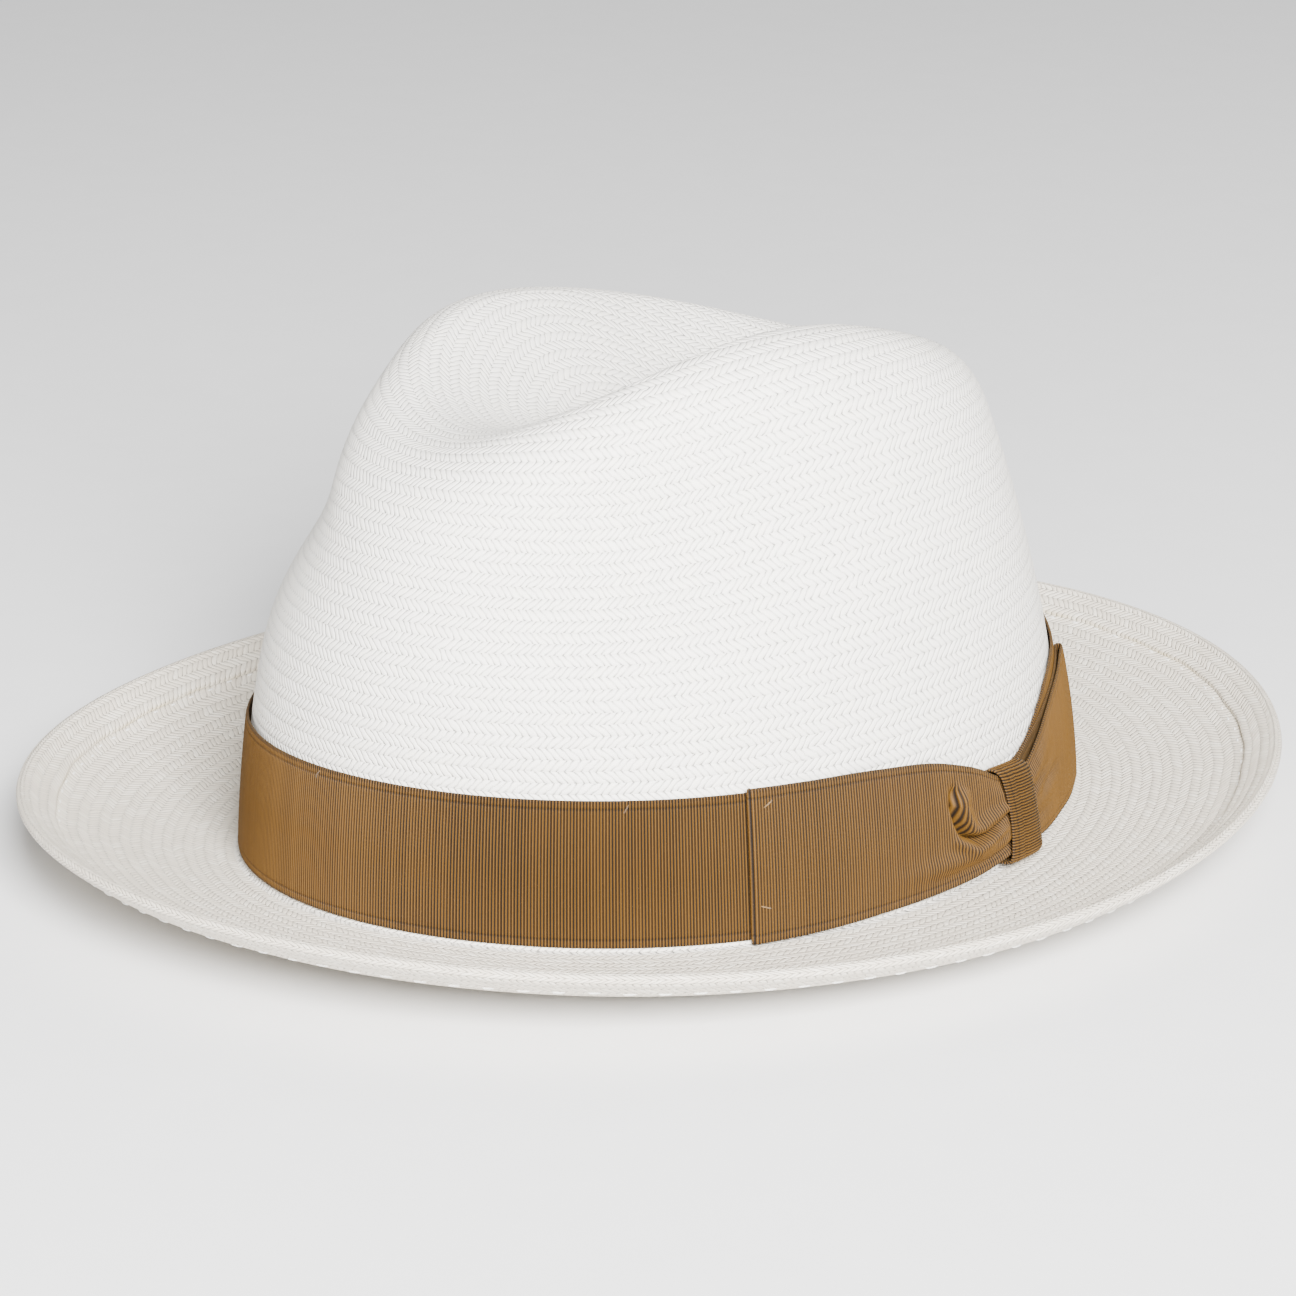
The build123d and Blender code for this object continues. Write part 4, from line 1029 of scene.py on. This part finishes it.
# Its second colour is the darkest end of the mix, mostly painted shade in the rib grooves.
SATIN = grosgrain_material("rear_bow_satin", (0.46, 0.28, 0.11, 1), (0.24, 0.13, 0.045, 1), 0.4)
ob = strip("rear_bow_ribbon", loop, 0.35, (x + 1) * 11.6, (1 - np.abs(T)) * 4.0, flip=True)
dress(ob, SATIN, "rear_ribbon", "sweatband_rear_bow")
ph = np.linspace(0, 2 * np.pi, 33)[:-1]
tw = np.linspace(-1, 1, 7)
PH, TW = np.meshgrid(ph, tw, indexing="ij")
kn = c0 - n0 * (0.75 + (0.75 + 0.1 * TW**2) * np.sin(PH))[..., None] + u0 * (2.1 * np.cos(PH))[..., None] + a0 * (TW * 1.5)[..., None]
ob = strip("rear_bow_knot", kn, 0.3, ph * 2.0, (1 - np.abs(TW)) * 1.5, closed=True)
dress(ob, SATIN, "rear_ribbon")

# pieces whose CAD shape stays
for node, mat in (("sweatband_reed", CANE), ("reed_tape", TAPE), ("size_label", LABEL)):
    for ob in bpy.data.objects:
        if ob.name == node or ob.get("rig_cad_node") == node:
            if ob.type == "MESH":
                ob.material_slots[0].material = mat if ob.material_slots else None


# ---------------------------------------------------------- floor, light, view
def floor():
    n = 40
    r = np.concatenate([[0.0], np.geomspace(0.3, 14.0, n)])
    ph = np.linspace(0, 2 * np.pi, 65)[:-1]
    R_, PH_ = np.meshgrid(r, ph, indexing="ij")
    v = np.stack([R_ * np.cos(PH_), R_ * np.sin(PH_), 0 * R_ - 0.0002], -1)
    I, J = np.meshgrid(np.arange(n), np.arange(64), indexing="ij")
    J2 = (J + 1) % 64
    q = np.stack([I * 64 + J, (I + 1) * 64 + J, (I + 1) * 64 + J2, I * 64 + J2], -1).reshape(-1, 4)
    ob = make_mesh("studio_floor", v.reshape(-1, 3), q)
    k = Nodes("studio_floor")
    grain = k.noise(k.place(), 60.0, 3.0)
    col = k.mix(grain, (0.80, 0.80, 0.80, 1), (0.84, 0.84, 0.84, 1))
    ob.data.materials.append(k.finish(col, 0.85))
    return ob


floor()

world = bpy.data.worlds.new("studio")
bpy.context.scene.world = world
world.use_nodes = True
bg = world.node_tree.nodes["Background"]
bg.inputs[0].default_value = (1.0, 1.0, 1.0, 1)
bg.inputs[1].default_value = 0.36


def area(name, az, el, dist, size, power, colour=(1, 1, 1)):
    a, e = math.radians(az), math.radians(el)
    at = np.array([math.sin(a) * math.cos(e), -math.cos(a) * math.cos(e), math.sin(e)]) * dist
    light = bpy.data.lights.new(name, "AREA")
    light.shape = "SQUARE"
    light.size = size
    light.energy = power
    light.color = colour
    ob = bpy.data.objects.new(name, light)
    ob.location = at
    import mathutils
    ob.rotation_euler = mathutils.Vector(tuple(-at)).to_track_quat("-Z", "Y").to_euler()
    bpy.context.scene.collection.objects.link(ob)


area("key_soft", 57, 30, 1.9, 0.7, 200.0)
area("top_soft", 60, 62, 1.9, 1.0, 8.0)
area("fill_left", 350, 22, 2.0, 1.0, 3.0)

import mathutils

A, E, ROLL, D = math.radians(46.00010), math.radians(18.08880), math.radians(-0.85708), 1.2
back = np.array([math.sin(A) * math.cos(E), -math.cos(A) * math.cos(E), math.sin(E)])
right = np.array([math.cos(A), math.sin(A), 0.0])
upv = np.cross(back, right)
r2 = right * math.cos(ROLL) + upv * math.sin(ROLL)
u2 = -right * math.sin(ROLL) + upv * math.cos(ROLL)
cam = bpy.data.cameras.new("view")
cam.sensor_width = 36.0
cam.lens = 4.376305 * 1200 / 1296 * 36.0
cam.shift_x = -5.2137 / 1296
cam.shift_y = -16.3561 / 1296
cam.clip_start, cam.clip_end = 0.05, 60.0
cam_ob = bpy.data.objects.new("view", cam)
loc = np.array([0.0, -0.0017, 0.04545]) + back * D
cam_ob.matrix_world = mathutils.Matrix(
    [[r2[0], u2[0], back[0], loc[0]], [r2[1], u2[1], back[1], loc[1]], [r2[2], u2[2], back[2], loc[2]], [0, 0, 0, 1]])
bpy.context.scene.collection.objects.link(cam_ob)
bpy.context.scene.camera = cam_ob
